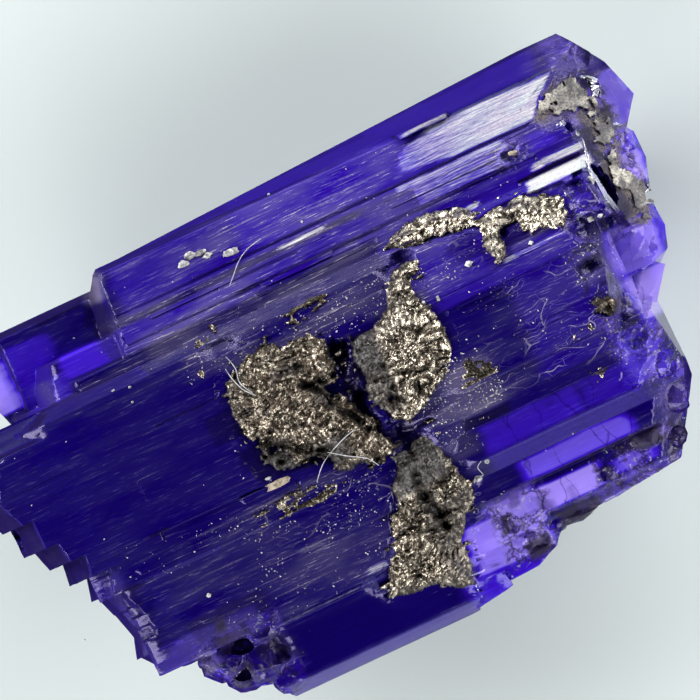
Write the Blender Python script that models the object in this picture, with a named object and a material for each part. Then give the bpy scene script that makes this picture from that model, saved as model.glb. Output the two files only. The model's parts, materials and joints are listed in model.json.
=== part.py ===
"""Rough tanzanite: grown-together, striated columns with graphite crusts, lying on a flat face.

The solids are worked out in millimetres and scaled to metres when they become the pieces. A
place on the stone is (u, v, z): u runs along the striations, v across them, z is the height
above the surface that the stone lies on.
"""
import math
import random

import bmesh
import bpy
from mathutils import Matrix, Vector, noise
from mathutils.bvhtree import BVHTree

MM = 0.001

# Driving dimensions
LENGTH = 21.0
WIDTH = 13.4
LEFT_END = -10.9
RIGHT_END = LEFT_END + LENGTH
UPPER_EDGE = 5.7
LOWER_EDGE = UPPER_EDGE - WIDTH
ORIGIN_U = (LEFT_END + RIGHT_END) / 2
ORIGIN_V = (UPPER_EDGE + LOWER_EDGE) / 2
FRONT_Z = 7.1            # the smooth front face
UPPER_Z = 5.55           # the ridge of the bright upper facet
SHELF_Z = 4.35           # the lower outer edge of the bottom column
UNDER_FLOOR = -1.0       # columns run on below the floor plane before it trims them
LIFT_BELOW = 3.0         # outlines are lifted off the floor only below this height
LIFT_SHARE = 0.2
HEART = (0.0, -0.5, 3.0)  # a place deep inside the stone

# Fine relief
STRIA_PITCH = 0.42
STRIA_STEP = 0.07
STRIA_WALL = 0.05        # how far a ledge's little wall leans
PLATE_RISE = 0.08
PLATE_ROOT = 0.9         # how deep a plate reaches into its face
PLATE_SLANT = 0.6        # how far a plate's ends lean, in plate widths
WELD = 0.001
FLAT_ENOUGH = math.radians(0.4)
ABOVE = 20.0             # clear of the stone's top

# Crusts that sit in shallow seats
GAP = 0.3
CRUST_POINTS = 28
CRUST_RINGS = (0.38, 0.68, 0.88, 1.0)
CRUST_RIM_RISE = 0.06
CRUST_RIM_DEPTH = 0.22
CRUST_TEXTURE = 1.2      # lumps of a crust, per millimetre
SEAT_OPENING = 10.0      # a seat's cutter stands this many gaps above its crust
CLAY_SIDES = 8
GROOVE_OPENING = 5.0


def place(u, v, z):
    """Position of a place on the stone, in millimetres from the piece's origin."""
    return Vector((u - ORIGIN_U, v - ORIGIN_V, z))


def clear_scene():
    for item in list(bpy.data.objects):
        bpy.data.objects.remove(item, do_unlink=True)


def group(name):
    """Hidden collection of helper solids that the Booleans read."""
    made = bpy.data.collections.new(name)
    bpy.context.scene.collection.children.link(made)
    made.hide_render = True
    return made


def helper(name, mesh_tool, collection):
    """Store a closed bmesh as a hidden wire object."""
    split_faces(mesh_tool)
    bmesh.ops.recalc_face_normals(mesh_tool, faces=mesh_tool.faces)
    mesh = bpy.data.meshes.new(name)
    mesh_tool.to_mesh(mesh)
    mesh_tool.free()
    item = bpy.data.objects.new(name, mesh)
    item.hide_render = True
    item.display_type = "WIRE"
    collection.objects.link(item)
    return item


def surface(name, colour, roughness, metallic):
    """Plain surface finish of one piece."""
    made = bpy.data.materials.new(name)
    made.use_nodes = True
    shader = made.node_tree.nodes["Principled BSDF"]
    shader.inputs["Base Color"].default_value = (*colour, 1.0)
    shader.inputs["Roughness"].default_value = roughness
    shader.inputs["Metallic"].default_value = metallic
    return made


def split_faces(tool):
    """Turn every face into triangles that follow its outline."""
    tool.normal_update()
    bmesh.ops.triangulate(tool, faces=tool.faces)


def at(u, outline):
    """A cross-section outline stood square across the striations."""
    return [(u, v, z) for v, z in outline]


def bridged(tool, rings):
    """Join rings of equal length with side faces."""
    for near, far in zip(rings, rings[1:]):
        for i in range(len(near)):
            j = (i + 1) % len(near)
            tool.faces.new((near[i], near[j], far[j], far[i]))


def lofted(sections):
    """Closed solid through cross-sections of equal length."""
    tool = bmesh.new()
    rings = [[tool.verts.new(place(*spot)) for spot in section] for section in sections]
    bridged(tool, rings)
    tool.faces.new(rings[0])
    tool.faces.new(rings[-1])
    split_faces(tool)
    return tool


def trim(tool, first, second, third):
    """Break a solid off along the plane through three places, keeping the stone's middle."""
    a, b, c = place(*first), place(*second), place(*third)
    normal = (b - a).cross(c - a).normalized()
    if normal.dot(place(*HEART) - a) > 0:
        normal.negate()
    whole = list(tool.verts) + list(tool.edges) + list(tool.faces)
    cut = bmesh.ops.bisect_plane(tool, geom=whole, plane_co=a, plane_no=normal, clear_outer=True)
    edges = [e for e in cut["geom_cut"] if isinstance(e, bmesh.types.BMEdge)]
    bmesh.ops.contextual_create(tool, geom=edges)
    split_faces(tool)


def hull(places):
    """Convex faceted block around the given places."""
    tool = bmesh.new()
    for spot in places:
        tool.verts.new(place(*spot))
    found = bmesh.ops.convex_hull(tool, input=tool.verts)
    inner = found["geom_interior"] + found["geom_unused"]
    loose = {g for g in inner if isinstance(g, bmesh.types.BMVert)}
    bmesh.ops.delete(tool, geom=list(loose), context="VERTS")
    return tool


def lump(u, v, z, radii, seed, detail=2, relief=0.22):
    """Uneven rounded knob, or the hollow that such a knob leaves."""
    tool = bmesh.new()
    bmesh.ops.create_icosphere(tool, subdivisions=detail, radius=1.0)
    for vert in tool.verts:
        out = vert.co.copy()
        swell = 1.0 + relief * noise.noise(out * 1.9 + Vector((seed * 7.3, seed * 3.1, 0.0)))
        vert.co = place(u, v, z) + Vector([out[i] * radii[i] * swell for i in range(3)])
    return tool


def striated(corners, seed, height=STRIA_STEP):
    """Break the long facets of a column's outline into narrow ledges."""
    rng = random.Random(seed)
    outline = [corners[0]]
    for (v0, z0), (v1, z1) in zip(corners, corners[1:]):
        ledges = int(abs(v1 - v0) / STRIA_PITCH)
        lean = math.copysign(STRIA_WALL, v1 - v0)
        for i in range(ledges):
            t = (i + 1 + rng.uniform(-0.3, 0.3)) / (ledges + 1)
            v = v0 + (v1 - v0) * t
            z = z0 + (z1 - z0) * t
            step = height * rng.uniform(0.4, 1.0) * rng.choice((-1, 1))
            outline += [(v, z + step / 2), (v + lean, z - step / 2)]
        outline.append((v1, z1))
    return outline


def squeezed(outline, level, share):
    """The same outline flattened towards one height, for a thin broken end."""
    return [(v, level + (z - level) * share) for v, z in outline]


def raised(outline, lift):
    """The same outline with its underside lifted clear of the floor."""
    lifted = []
    for v, z in outline:
        if z <= LIFT_BELOW:
            z = max(z, lift + (z - LIFT_BELOW) * LIFT_SHARE)
        lifted.append((v, z))
    return lifted


def front_column(parts):
    """Broad column with the dark smooth face, and its shoulder at the right end."""
    top = striated([(2.3, 5.8), (1.9, 6.55), (0.7, 6.95), (-0.5, FRONT_Z), (-0.58, FRONT_Z - 0.14),
                    (-2.0, 7.0), (-2.1, 6.8), (-3.1, 6.6)], 3, 0.6 * STRIA_STEP)
    outline = top + [(-3.0, 2.0), (-2.6, UNDER_FLOOR), (2.0, UNDER_FLOOR), (2.6, 2.4)]
    end = squeezed(raised(outline, 2.6), 4.8, 0.8)
    body = lofted([at(-8.9, end), at(-8.0, raised(outline, 2.3)), at(-6.4, outline),
                   at(6.6, outline), at(8.3, raised(outline, 2.6))])
    trim(body, (7.35, 0.4, 6.9), (7.3, -1.2, 6.9), (7.95, 0.0, 4.4))
    trim(body, (7.0, -1.5, 7.0), (6.7, -3.0, 6.7), (7.9, -1.6, 5.2))
    helper("front_body", body, parts)
    shoulder = striated([(2.28, 5.75), (1.7, 6.58), (0.6, 6.98)], 8)
    outline = shoulder + [(0.5, 3.4), (2.2, 3.0)]
    body = lofted([at(5.5, outline), at(8.35, outline)])
    trim(body, (8.3, 0.8, 6.6), (8.15, 2.1, 6.4), (8.6, 1.2, 4.2))
    helper("front_shoulder", body, parts)


def front_slats(parts):
    """Slats of the front column that run on past its body, each broken off at its own length."""
    slats = [((2.3, -10.3, 5.74), (1.35, -10.5, 6.72)), ((1.4, -10.6, 6.68), (0.45, -10.9, 6.97)),
             ((0.5, -10.9, 6.99), (-0.32, -10.55, 7.12)), ((-0.28, -10.33, 7.02), (-1.15, -10.3, 7.03)),
             ((-1.1, -10.0, 7.0), (-1.75, -9.8, 6.99)), ((-1.7, -9.42, 6.93), (-2.36, -9.5, 6.87)),
             ((-2.3, -8.98, 6.71), (-3.0, -9.15, 6.57)), ((-2.95, -8.97, 6.52), (-3.6, -8.75, 6.38)),
             ((-3.55, -8.74, 6.35), (-4.35, -8.52, 6.14)), ((-4.3, -8.5, 6.13), (-4.95, -8.7, 5.93)),
             ((-4.9, -8.6, 5.88), (-5.5, -8.15, 5.64)), ((-5.35, -8.1, 5.5), (-5.66, -7.6, 5.2))]
    for index, ((v_up, end_up, z_up), (v_low, end_low, z_low)) in enumerate(slats):
        corners = [(end_up, v_up, z_up), (end_low, v_low, z_low),
                   (end_low, v_low + 0.05, 3.0), (end_up, v_up - 0.05, 2.8)]
        sections = []
        for inward, level, share in ((0.0, 4.1, 0.3), (0.22, 4.4, 0.62), (0.75, 4.4, 1.0)):
            sections.append([(u + inward, v, level + (z - level) * share) for u, v, z in corners])
        sections.append([(-6.6, v, z) for u, v, z in corners])
        helper("front_slat_%02d" % index, lofted(sections), parts)


def middle_shelf(parts):
    """Sloping shelf below the front face, left of the graphite."""
    top = striated([(-2.6, 6.7), (-3.1, 6.55), (-4.9, 5.95), (-5.6, 5.6)], 5)
    under = striated([(-5.45, 4.2), (-4.7, 1.9), (-3.6, UNDER_FLOOR)], 6)
    outline = top + under + [(-2.4, UNDER_FLOOR)]
    body = lofted([at(-8.3, squeezed(raised(outline, 2.4), 4.6, 0.85)), at(-7.2, raised(outline, 2.0)),
                   at(-5.6, outline), at(0.9, outline)])
    helper("middle_shelf", body, parts)


def bottom_column(parts):
    """Smooth column along the lowest edge, with a clear outer bevel."""
    under = striated([(-7.45, 2.8), (-5.4, 1.3), (-4.4, 1.1)], 9)
    outline = [(-4.6, 5.3), (-5.62, 5.2), (-5.72, 5.02), (-7.35, SHELF_Z), (-7.7, SHELF_Z - 0.75)] + under
    body = lofted([at(-5.75, outline), at(0.75, outline)])
    trim(body, (-5.6, -7.0, 4.4), (-5.25, -7.65, 3.7), (-5.1, -7.3, 2.4))
    trim(body, (0.35, -7.7, 3.6), (0.75, -5.8, 5.0), (0.2, -7.2, 2.2))
    helper("bottom_column", body, parts)


def upper_column(parts):
    """Column with the bright facet, whose outer edge fans out to the right."""
    inner = [(3.8, UPPER_Z), (3.74, UPPER_Z - 0.14), (2.4, 5.8), (1.4, 5.9)]
    under = [(1.2, 1.0), (1.6, UNDER_FLOOR), (2.7, UNDER_FLOOR)]
    left = [(5.17, 3.9), (4.98, 5.0)] + inner + under + striated([(3.7, 0.9), (5.0, 2.7)], 13)
    right = [(5.7, 3.7), (4.8, 5.1)] + inner + under + striated([(3.9, 1.0), (5.5, 2.5)], 13)
    body = lofted([at(-6.1, raised(left, 2.2)), at(-4.6, left), at(7.6, right), at(10.3, raised(right, 2.6))])
    trim(body, (-5.2, 4.35, 5.3), (-5.3, 3.4, 5.6), (-6.0, 3.9, 4.1))
    trim(body, (-5.25, 5.2, 4.3), (-5.95, 4.25, 4.3), (-5.9, 4.2, 2.5))
    trim(body, (8.15, 4.8, 5.1), (7.3, 3.8, UPPER_Z), (9.7, 4.3, 3.95))
    trim(body, (8.85, 5.7, 4.0), (9.8, 4.35, 4.0), (9.7, 4.45, 2.0))
    trim(body, (9.75, 4.4, 4.0), (10.1, 3.4, 4.0), (9.9, 3.5, 2.0))
    trim(body, (10.15, 3.35, 4.0), (9.5, 2.5, 4.0), (10.0, 3.3, 2.0))
    helper("upper_column", body, parts)


def ridge_columns(parts):
    """Narrow striated columns between the bright facet and the front face."""
    top = striated([(3.7, 5.42), (2.95, 5.8), (2.88, 5.66), (1.6, 6.1)], 11)
    outline = top + [(1.4, 3.0), (3.4, 3.2)]
    body = lofted([at(-5.3, outline), at(8.25, outline)])
    trim(body, (8.2, 3.6, 5.4), (8.25, 2.0, 5.8), (8.6, 2.8, 4.0))
    helper("ridge_column", body, parts)
    outline = [(3.38, 4.7), (3.3, 5.25), (2.3, 5.72), (1.6, 5.9), (1.4, 2.6), (3.1, 3.0)]
    body = lofted([at(-8.2, outline), at(-4.6, outline)])
    trim(body, (-7.35, 3.35, 5.3), (-7.7, 2.2, 5.8), (-8.1, 2.9, 4.6))
    helper("step_column", body, parts)


def rear_column(parts):
    """Lower column behind the upper left, thinning to a clear tongue."""
    under = striated([(1.2, 1.6), (2.8, 1.3), (4.3, 2.5)], 15)
    outline = [(4.7, 3.5), (4.5, 4.25), (3.4, 4.55), (1.6, 4.7)] + under
    body = lofted([at(-8.9, raised(outline, 2.6)), at(-6.5, raised(outline, 2.2)), at(-4.4, outline)])
    trim(body, (-8.45, 3.9, 4.5), (-8.5, 2.4, 4.5), (-8.75, 3.2, 2.6))
    helper("rear_column", body, parts)
    tongue = hull([(-8.0, 4.2, 3.7), (-8.0, 1.8, 3.9), (-8.0, 4.1, 2.9), (-8.0, 1.8, 3.0), (-8.9, 4.0, 3.4),
                   (-9.4, 3.1, 3.3), (-9.1, 2.2, 3.4), (-8.9, 3.9, 3.1), (-9.3, 3.0, 3.05), (-9.0, 2.1, 3.1)])
    helper("clear_tongue", tongue, parts)


def window_shelf(parts):
    """Thin lower right column; light comes through its clear bands."""
    top = [(-2.2, 6.5), (-3.05, 6.42), (-3.12, 6.28), (-3.95, 6.1), (-4.42, 5.6), (-5.05, 5.42),
           (-5.12, 5.15), (-5.3, 5.1), (-6.0, 4.85), (-6.5, 4.3)]
    under = [(-6.35, 3.7), (-4.3, 3.0), (-3.0, 1.4), (-2.4, UNDER_FLOOR), (-1.6, UNDER_FLOOR)]
    outline = top + under
    body = lofted([at(0.2, outline), at(6.4, outline), at(8.3, raised(outline, 2.6))])
    trim(body, (8.2, -4.2, 5.6), (8.0, -2.6, 6.2), (8.3, -3.4, 4.4))
    trim(body, (8.15, -4.35, 5.4), (7.4, -5.6, 4.9), (7.9, -4.9, 3.8))
    trim(body, (7.5, -5.4, 5.0), (7.2, -6.2, 4.6), (7.55, -5.8, 3.8))
    trim(body, (7.0, -6.22, 4.5), (3.3, -6.62, 4.3), (5.0, -6.35, 3.2))
    trim(body, (7.2, -3.2, 6.3), (7.0, -4.6, 5.5), (8.1, -3.8, 5.3))
    helper("window_shelf", body, parts)


def lower_foot(parts):
    """Glassy blocks and knobs at the foot of the graphite."""
    slab = hull([(0.3, -5.3, 4.75), (2.1, -5.3, 4.7), (1.95, -7.0, 4.35), (0.3, -6.9, 4.3),
                 (0.3, -5.3, 3.2), (2.2, -5.2, 3.2), (2.0, -7.0, 3.5), (0.3, -6.9, 3.4)])
    helper("foot_slab", slab, parts)
    toe = hull([(0.0, -6.7, 4.3), (1.3, -6.8, 4.2), (1.45, -7.45, 3.8), (0.3, -7.62, 3.9),
                (0.0, -6.7, 3.0), (1.5, -6.8, 3.1), (1.3, -7.5, 3.3), (0.3, -7.6, 3.3)])
    helper("foot_toe", toe, parts)
    step = hull([(1.2, -6.4, 4.2), (2.9, -6.3, 4.3), (2.3, -7.25, 3.8), (1.4, -7.3, 3.7), (3.0, -6.95, 3.9),
                 (1.2, -6.4, 3.1), (3.1, -6.3, 3.2), (2.3, -7.2, 3.3), (1.4, -7.25, 3.3), (3.35, -6.55, 3.7)])
    helper("foot_step", step, parts)
    knobs = [(2.1, -5.7, 4.5, (0.5, 0.55, 0.45)), (2.3, -6.4, 4.2, (0.6, 0.5, 0.45)),
             (2.75, -5.9, 4.5, (0.5, 0.5, 0.45)), (3.1, -6.35, 4.1, (0.5, 0.35, 0.4)),
             (3.9, -6.35, 4.15, (0.7, 0.28, 0.35)), (5.0, -5.75, 4.75, (0.35, 0.3, 0.35)),
             (6.35, -5.25, 4.9, (0.55, 0.4, 0.4)), (7.15, -5.6, 4.6, (0.35, 0.35, 0.35))]
    for index, (u, v, z, radii) in enumerate(knobs):
        helper("foot_knob_%d" % index, lump(u, v, z, radii, index + 1), parts)


def left_knobs(parts):
    """Lumpy, partly dissolved corner between the shelf and the bottom column."""
    knobs = [(-6.35, -5.9, 4.3, (0.85, 0.7, 0.75)), (-5.6, -6.3, 4.4, (0.7, 0.75, 0.6)),
             (-6.1, -6.5, 3.9, (0.7, 0.55, 0.6)), (-6.85, -5.75, 4.4, (0.4, 0.35, 0.4)),
             (-5.3, -5.6, 4.9, (0.6, 0.45, 0.45)), (-6.2, -5.2, 5.4, (0.45, 0.3, 0.35)),
             (-5.25, -7.1, 3.6, (0.42, 0.5, 0.5))]
    for index, (u, v, z, radii) in enumerate(knobs):
        helper("left_knob_%d" % index, lump(u, v, z, radii, index + 31), parts)


def right_end(parts):
    """Clear, lumpy blocks behind and below the right end of the front face."""
    block = hull([(6.6, -1.3, 4.9), (6.6, 0.9, 5.0), (8.6, -1.05, 4.6), (9.0, 0.4, 4.5), (9.35, -0.3, 3.9),
                  (9.15, -0.9, 3.8), (9.3, 0.4, 3.9), (6.6, -1.3, 2.6), (6.6, 0.9, 2.6), (8.8, -1.2, 3.1),
                  (9.2, 0.4, 3.1), (8.0, 0.9, 4.9)])
    helper("end_block", block, parts)
    wedge = hull([(7.0, -0.9, 4.4), (7.2, -2.6, 4.9), (8.0, -2.4, 4.3), (8.9, -1.25, 4.0), (8.4, -0.9, 4.3),
                  (7.0, -0.9, 2.9), (7.2, -2.5, 3.0), (7.95, -2.35, 3.4), (8.85, -1.3, 3.4)])
    helper("end_wedge", wedge, parts)
    rise = hull([(7.6, 0.2, 5.0), (7.8, 2.9, 5.0), (9.2, 0.7, 4.6), (9.4, 2.0, 4.5), (9.3, 2.8, 4.4),
                 (9.65, 1.6, 3.9), (9.65, 2.4, 3.9), (9.4, 0.8, 3.8), (7.6, 0.2, 2.6), (7.8, 2.9, 2.6),
                 (9.5, 2.4, 3.1), (9.3, 0.8, 3.1)])
    helper("end_rise", rise, parts)
    knobs = [(8.25, -0.35, 4.5, (0.75, 0.55, 0.5)), (8.95, 1.3, 4.35, (0.45, 0.55, 0.5)),
             (9.15, 2.2, 4.2, (0.45, 0.5, 0.45)), (8.85, 3.9, 4.6, (0.5, 0.45, 0.35)),
             (7.6, -3.5, 5.4, (0.5, 0.6, 0.5)), (7.35, -2.1, 5.9, (0.45, 0.7, 0.5)),
             (7.6, -4.6, 4.9, (0.5, 0.5, 0.45))]
    for index, (u, v, z, radii) in enumerate(knobs):
        helper("end_knob_%d" % index, lump(u, v, z, radii, index + 51), parts)


FACE_CORNERS = [(4.8, 5.1), (3.8, 5.55), (2.95, 5.8), (2.3, 5.95), (1.9, 6.55), (0.7, 6.95),
                (-0.5, FRONT_Z), (-2.0, 7.0), (-3.1, 6.6), (-4.9, 5.95), (-5.6, 5.6)]


def face_height(v):
    """Height of the broad upper faces, across the striations."""
    for (v0, z0), (v1, z1) in zip(FACE_CORNERS, FACE_CORNERS[1:]):
        if v1 <= v <= v0:
            return z0 + (z1 - z0) * (v0 - v) / (v0 - v1)
    return FACE_CORNERS[0][1]


def plate(parts, name, u0, u1, v0, v1, z0, z1):
    """One thin plate with slanting sides and ends."""
    slant = PLATE_SLANT * (v1 - v0)
    top = [(u0 + slant, v0, z0), (u1 - slant, v0, z0), (u1, v1, z1), (u0, v1, z1)]
    root = [(u0 - 0.1, v0 - 0.06, z0), (u1 + 0.1, v0 - 0.06, z0),
            (u1 + 0.1, v1 + 0.06, z1), (u0 - 0.1, v1 + 0.06, z1)]
    helper(name, hull(top + [(u, v, z - PLATE_ROOT) for u, v, z in root]), parts)


def plates(parts):
    """Thin growth plates that stand on the faces, long along the striations."""
    named = [(6.2, 8.2, 2.05, 2.4, 6.2, 6.05), (6.9, 8.15, 2.5, 2.9, 6.0, 5.86),
             (3.7, 5.2, 4.85, 4.98, 5.2, 5.14), (6.2, 8.1, 3.3, 3.6, 5.68, 5.55),
             (-0.4, 0.9, 3.48, 3.62, 5.66, 5.6), (3.2, 4.9, -0.15, 0.05, 7.16, 7.14),
             (3.9, 5.0, -0.45, -0.3, 7.17, 7.17), (-5.0, -1.6, -5.75, -5.6, 5.28, 5.3)]
    for index, sizes in enumerate(named):
        plate(parts, "plate_%02d" % index, *sizes)
    rng = random.Random(21)
    fields = [(-4.5, 6.0, 2.95, 3.55, 5), (-8.0, 2.0, 2.0, 2.8, 5), (-9.0, 2.0, -0.45, 1.5, 2),
              (2.8, 7.0, -2.0, 1.5, 4), (-8.0, -1.0, -5.3, -2.2, 6)]
    for u_low, u_high, v_low, v_high, count in fields:
        for index in range(count):
            u0 = rng.uniform(u_low, u_high - 1.5)
            u1 = min(u0 + rng.uniform(1.5, 5.0), u_high)
            v0 = rng.uniform(v_low, v_high)
            v1 = v0 + rng.uniform(0.1, 0.3)
            rise = PLATE_RISE * rng.uniform(0.5, 1.0)
            z0, z1 = face_height(v0) + rise, face_height(v1) + rise
            plate(parts, "growth_plate", u0, u1, v0, v1, z0, z1)


def pits(cutters):
    """Dissolution pits and chips in the faces and the broken ends."""
    hollows = [(6.35, 3.25, 5.85, (0.48, 0.4, 0.4)), (5.35, 1.5, 6.7, (0.42, 0.36, 0.7)),
               (0.55, -2.4, 6.9, (0.5, 0.35, 0.6)), (6.95, -0.4, 7.1, (0.5, 0.4, 0.35)),
               (6.9, -1.65, 7.1, (0.4, 0.35, 0.4)), (7.2, -2.75, 6.5, (0.45, 0.4, 0.4)),
               (6.6, -3.6, 6.4, (0.35, 0.3, 0.25)), (-5.95, -5.8, 4.9, (0.4, 0.22, 0.35)),
               (-6.2, -6.45, 4.5, (0.35, 0.3, 0.3)), (-5.05, -6.4, 4.85, (0.3, 0.5, 0.35)),
               (2.1, -6.05, 4.95, (0.22, 0.35, 0.3)), (2.5, -6.85, 4.25, (0.4, 0.25, 0.3)),
               (4.95, -5.75, 5.15, (0.25, 0.22, 0.25)), (7.5, 1.7, 6.7, (0.4, 0.3, 0.45)),
               (8.3, 3.3, 5.3, (0.5, 0.45, 0.5)), (-10.3, -0.6, 5.2, (0.3, 0.35, 0.9)),
               (-7.9, -3.1, 6.75, (0.5, 0.25, 0.2)), (-6.6, -2.05, 7.15, (0.6, 0.12, 0.2)),
               (7.3, 0.6, 7.0, (0.5, 0.6, 0.4)), (7.1, -3.3, 6.5, (0.6, 0.5, 0.4)),
               (8.2, -4.9, 4.9, (0.45, 0.5, 0.6)), (-9.6, 1.7, 6.9, (0.7, 0.3, 0.25)),
               (9.3, 4.9, 4.6, (0.4, 0.5, 0.45)), (9.0, -0.75, 4.6, (0.5, 0.35, 0.3))]
    for index, (u, v, z, radii) in enumerate(hollows):
        helper("pit_%02d" % index, lump(u, v, z, radii, index + 71, relief=0.35), cutters)


def floor_block(cutters):
    """Everything below the flat face that the stone rests on."""
    block = hull([(u, v, z) for u in (-14, 14) for v in (-12, 12) for z in (-4, 0)])
    helper("floor_block", block, cutters)


def outline_radii(outline, centre, count):
    """Distance from a centre to a closed outline, in evenly spaced directions."""
    spans = list(zip(outline, outline[1:] + outline[:1]))
    radii = []
    for i in range(count):
        angle = 2 * math.pi * i / count
        dx, dy = math.cos(angle), math.sin(angle)
        reach = 0.0
        for (x0, y0), (x1, y1) in spans:
            ax, ay, bx, by = x0 - centre[0], y0 - centre[1], x1 - x0, y1 - y0
            cross = dx * by - dy * bx
            if abs(cross) < 1e-9:
                continue
            far = (ax * by - ay * bx) / cross
            along = (ax * dy - ay * dx) / cross
            if far > 0 and -1e-6 <= along <= 1 + 1e-6:
                reach = max(reach, far)
        radii.append(reach)
    return radii


def drape_height(tree, u, v, fallback, patch=0.25):
    """Height of the stone's upper surface at a place, averaged over a small patch."""
    heights = []
    for du, dv in ((0, 0), (patch, 0), (-patch, 0), (0, patch), (0, -patch)):
        hit = tree.ray_cast(place(u + du, v + dv, ABOVE), Vector((0, 0, -1)))[0]
        if hit is not None:
            heights.append(hit.z)
    if not heights:
        return fallback
    return sum(heights) / len(heights)


def crust_ring(tool, tree, radii, centre, share, top, rise, depth, seed, grow):
    """One closed loop of a crust, at a share of the way to its outline."""
    mean = sum(radii) / CRUST_POINTS
    fallback = drape_height(tree, centre[0], centre[1], FRONT_Z)
    dome = math.sqrt(max(0.0, 1.0 - share ** 3))
    loop = []
    for i, reach in enumerate(radii):
        angle = 2 * math.pi * i / CRUST_POINTS
        evened = min(reach, mean) * (1 - share) + reach * share
        far = share * evened + grow * min(1.0, share + 0.1)
        u, v = centre[0] + far * math.cos(angle), centre[1] + far * math.sin(angle)
        floor = drape_height(tree, u, v, fallback, 0.25 + 0.5 * (1 - share))
        spot = Vector((u * CRUST_TEXTURE, v * CRUST_TEXTURE, seed))
        rough = noise.noise(spot) * (0.3 + share)
        if top:
            z = floor + CRUST_RIM_RISE + rise * dome * (0.85 + 0.8 * rough) + SEAT_OPENING * grow
        else:
            z = floor - CRUST_RIM_DEPTH - depth * dome - grow
        loop.append(tool.verts.new(place(u, v, z)))
    return loop


def crust(tree, outline, centre, rise, depth, seed, grow=0.0):
    """Rough patch that lies in a shallow seat; grow gives the seat's cutter instead."""
    radii = outline_radii(outline, centre, CRUST_POINTS)
    tool = bmesh.new()
    rings = []
    for top, shares in ((True, CRUST_RINGS), (False, CRUST_RINGS[::-1])):
        for share in shares:
            rings.append(crust_ring(tool, tree, radii, centre, share, top, rise, depth, seed, grow))
    bridged(tool, rings)
    for loop in (rings[0], rings[-1]):
        tip = tool.verts.new(sum((vert.co for vert in loop), Vector()) / CRUST_POINTS)
        for i in range(CRUST_POINTS):
            tool.faces.new((loop[i], loop[(i + 1) % CRUST_POINTS], tip))
    return tool


CRUSTS = {
    "graphite_left": ([(-3.6, 1.6), (-2.9, 1.8), (-2.3, 1.3), (-1.6, 1.2), (-0.7, 0.9), (-0.35, 0.3),
                       (-0.7, -0.3), (-0.4, -1.2), (-0.2, -2.3), (-1.2, -2.5), (-2.0, -2.1), (-3.0, -2.0),
                       (-3.5, -1.4), (-3.4, -0.6), (-3.5, 0.2), (-3.3, 1.0)], (-1.9, -0.4), 0.75, 0.35),
    "graphite_middle": ([(0.25, 0.4), (1.2, 0.6), (1.6, 1.0), (1.8, 1.6), (2.3, 1.75), (2.75, 1.5),
                         (2.45, 1.0), (2.5, 0.5), (2.65, -0.5), (2.5, -1.1), (2.2, -1.7), (1.6, -2.05),
                         (0.9, -2.1), (0.5, -1.9), (0.3, -1.0)], (1.5, -0.5), 0.7, 0.35),
    "graphite_lower": ([(0.0, -3.0), (1.1, -2.95), (1.2, -3.6), (1.45, -4.3), (1.3, -4.9), (0.8, -5.4),
                        (0.65, -6.2), (0.5, -6.8), (-0.4, -6.6), (-1.5, -6.3), (-1.7, -5.8),
                        (-1.1, -5.2), (-0.6, -4.8), (-0.3, -4.0)], (0.0, -5.0), 0.55, 0.3),
    "graphite_ridge": ([(2.2, 2.3), (3.0, 2.6), (4.2, 2.5), (4.9, 2.2), (6.0, 2.1), (6.9, 1.75),
                        (7.1, 1.2), (6.6, 0.9), (6.0, 1.15), (5.3, 1.75), (4.6, 1.85), (3.6, 2.05)],
                       (4.9, 2.0), 0.5, 0.25),
}


CLAY_PATH = [(7.5, 3.85, 5.3, 0.22), (8.1, 4.1, 5.1, 0.3), (8.65, 3.9, 4.85, 0.32), (8.8, 3.3, 4.8, 0.3),
             (8.75, 2.6, 4.85, 0.24), (8.5, 1.9, 4.95, 0.2), (8.6, 1.2, 4.9, 0.26), (8.8, 0.6, 4.85, 0.24)]


def clay_seam(grow=0.0):
    """Winding seam of clay through the broken right end; grow gives the open groove it fills."""
    tool = bmesh.new()
    rings = []
    for i, (u, v, z, radius) in enumerate(CLAY_PATH):
        before = Vector(CLAY_PATH[max(i - 1, 0)][:3])
        after = Vector(CLAY_PATH[min(i + 1, len(CLAY_PATH) - 1)][:3])
        along = (after - before).normalized()
        across = along.cross(Vector((0, 0, 1))).normalized()
        upward = across.cross(along)
        end_reach = grow * ((i == len(CLAY_PATH) - 1) - (i == 0))
        ring = []
        for k in range(CLAY_SIDES):
            angle = 2 * math.pi * k / CLAY_SIDES
            offset = (across * math.cos(angle) + upward * math.sin(angle)) * (radius + grow)
            offset += along * end_reach
            opening = GROOVE_OPENING * grow if math.sin(angle) > 0.5 else 0.0
            ring.append(tool.verts.new(place(u + offset.x, v + offset.y, z + offset.z + opening)))
        rings.append(ring)
    bridged(tool, rings)
    tool.faces.new(rings[0])
    tool.faces.new(rings[-1])
    return tool


def joined(name, base, others, operation):
    """Mesh of one object after a Boolean with a whole collection."""
    step = base.modifiers.new(operation, "BOOLEAN")
    step.operation = operation
    step.operand_type = "COLLECTION"
    step.collection = others
    step.solver = "EXACT"
    bpy.context.view_layer.update()
    shape = base.evaluated_get(bpy.context.evaluated_depsgraph_get())
    tool = bmesh.new()
    tool.from_mesh(shape.to_mesh())
    shape.to_mesh_clear()
    base.modifiers.remove(step)
    mesh = bpy.data.meshes.new(name)
    tool.to_mesh(mesh)
    tool.free()
    return mesh


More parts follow.
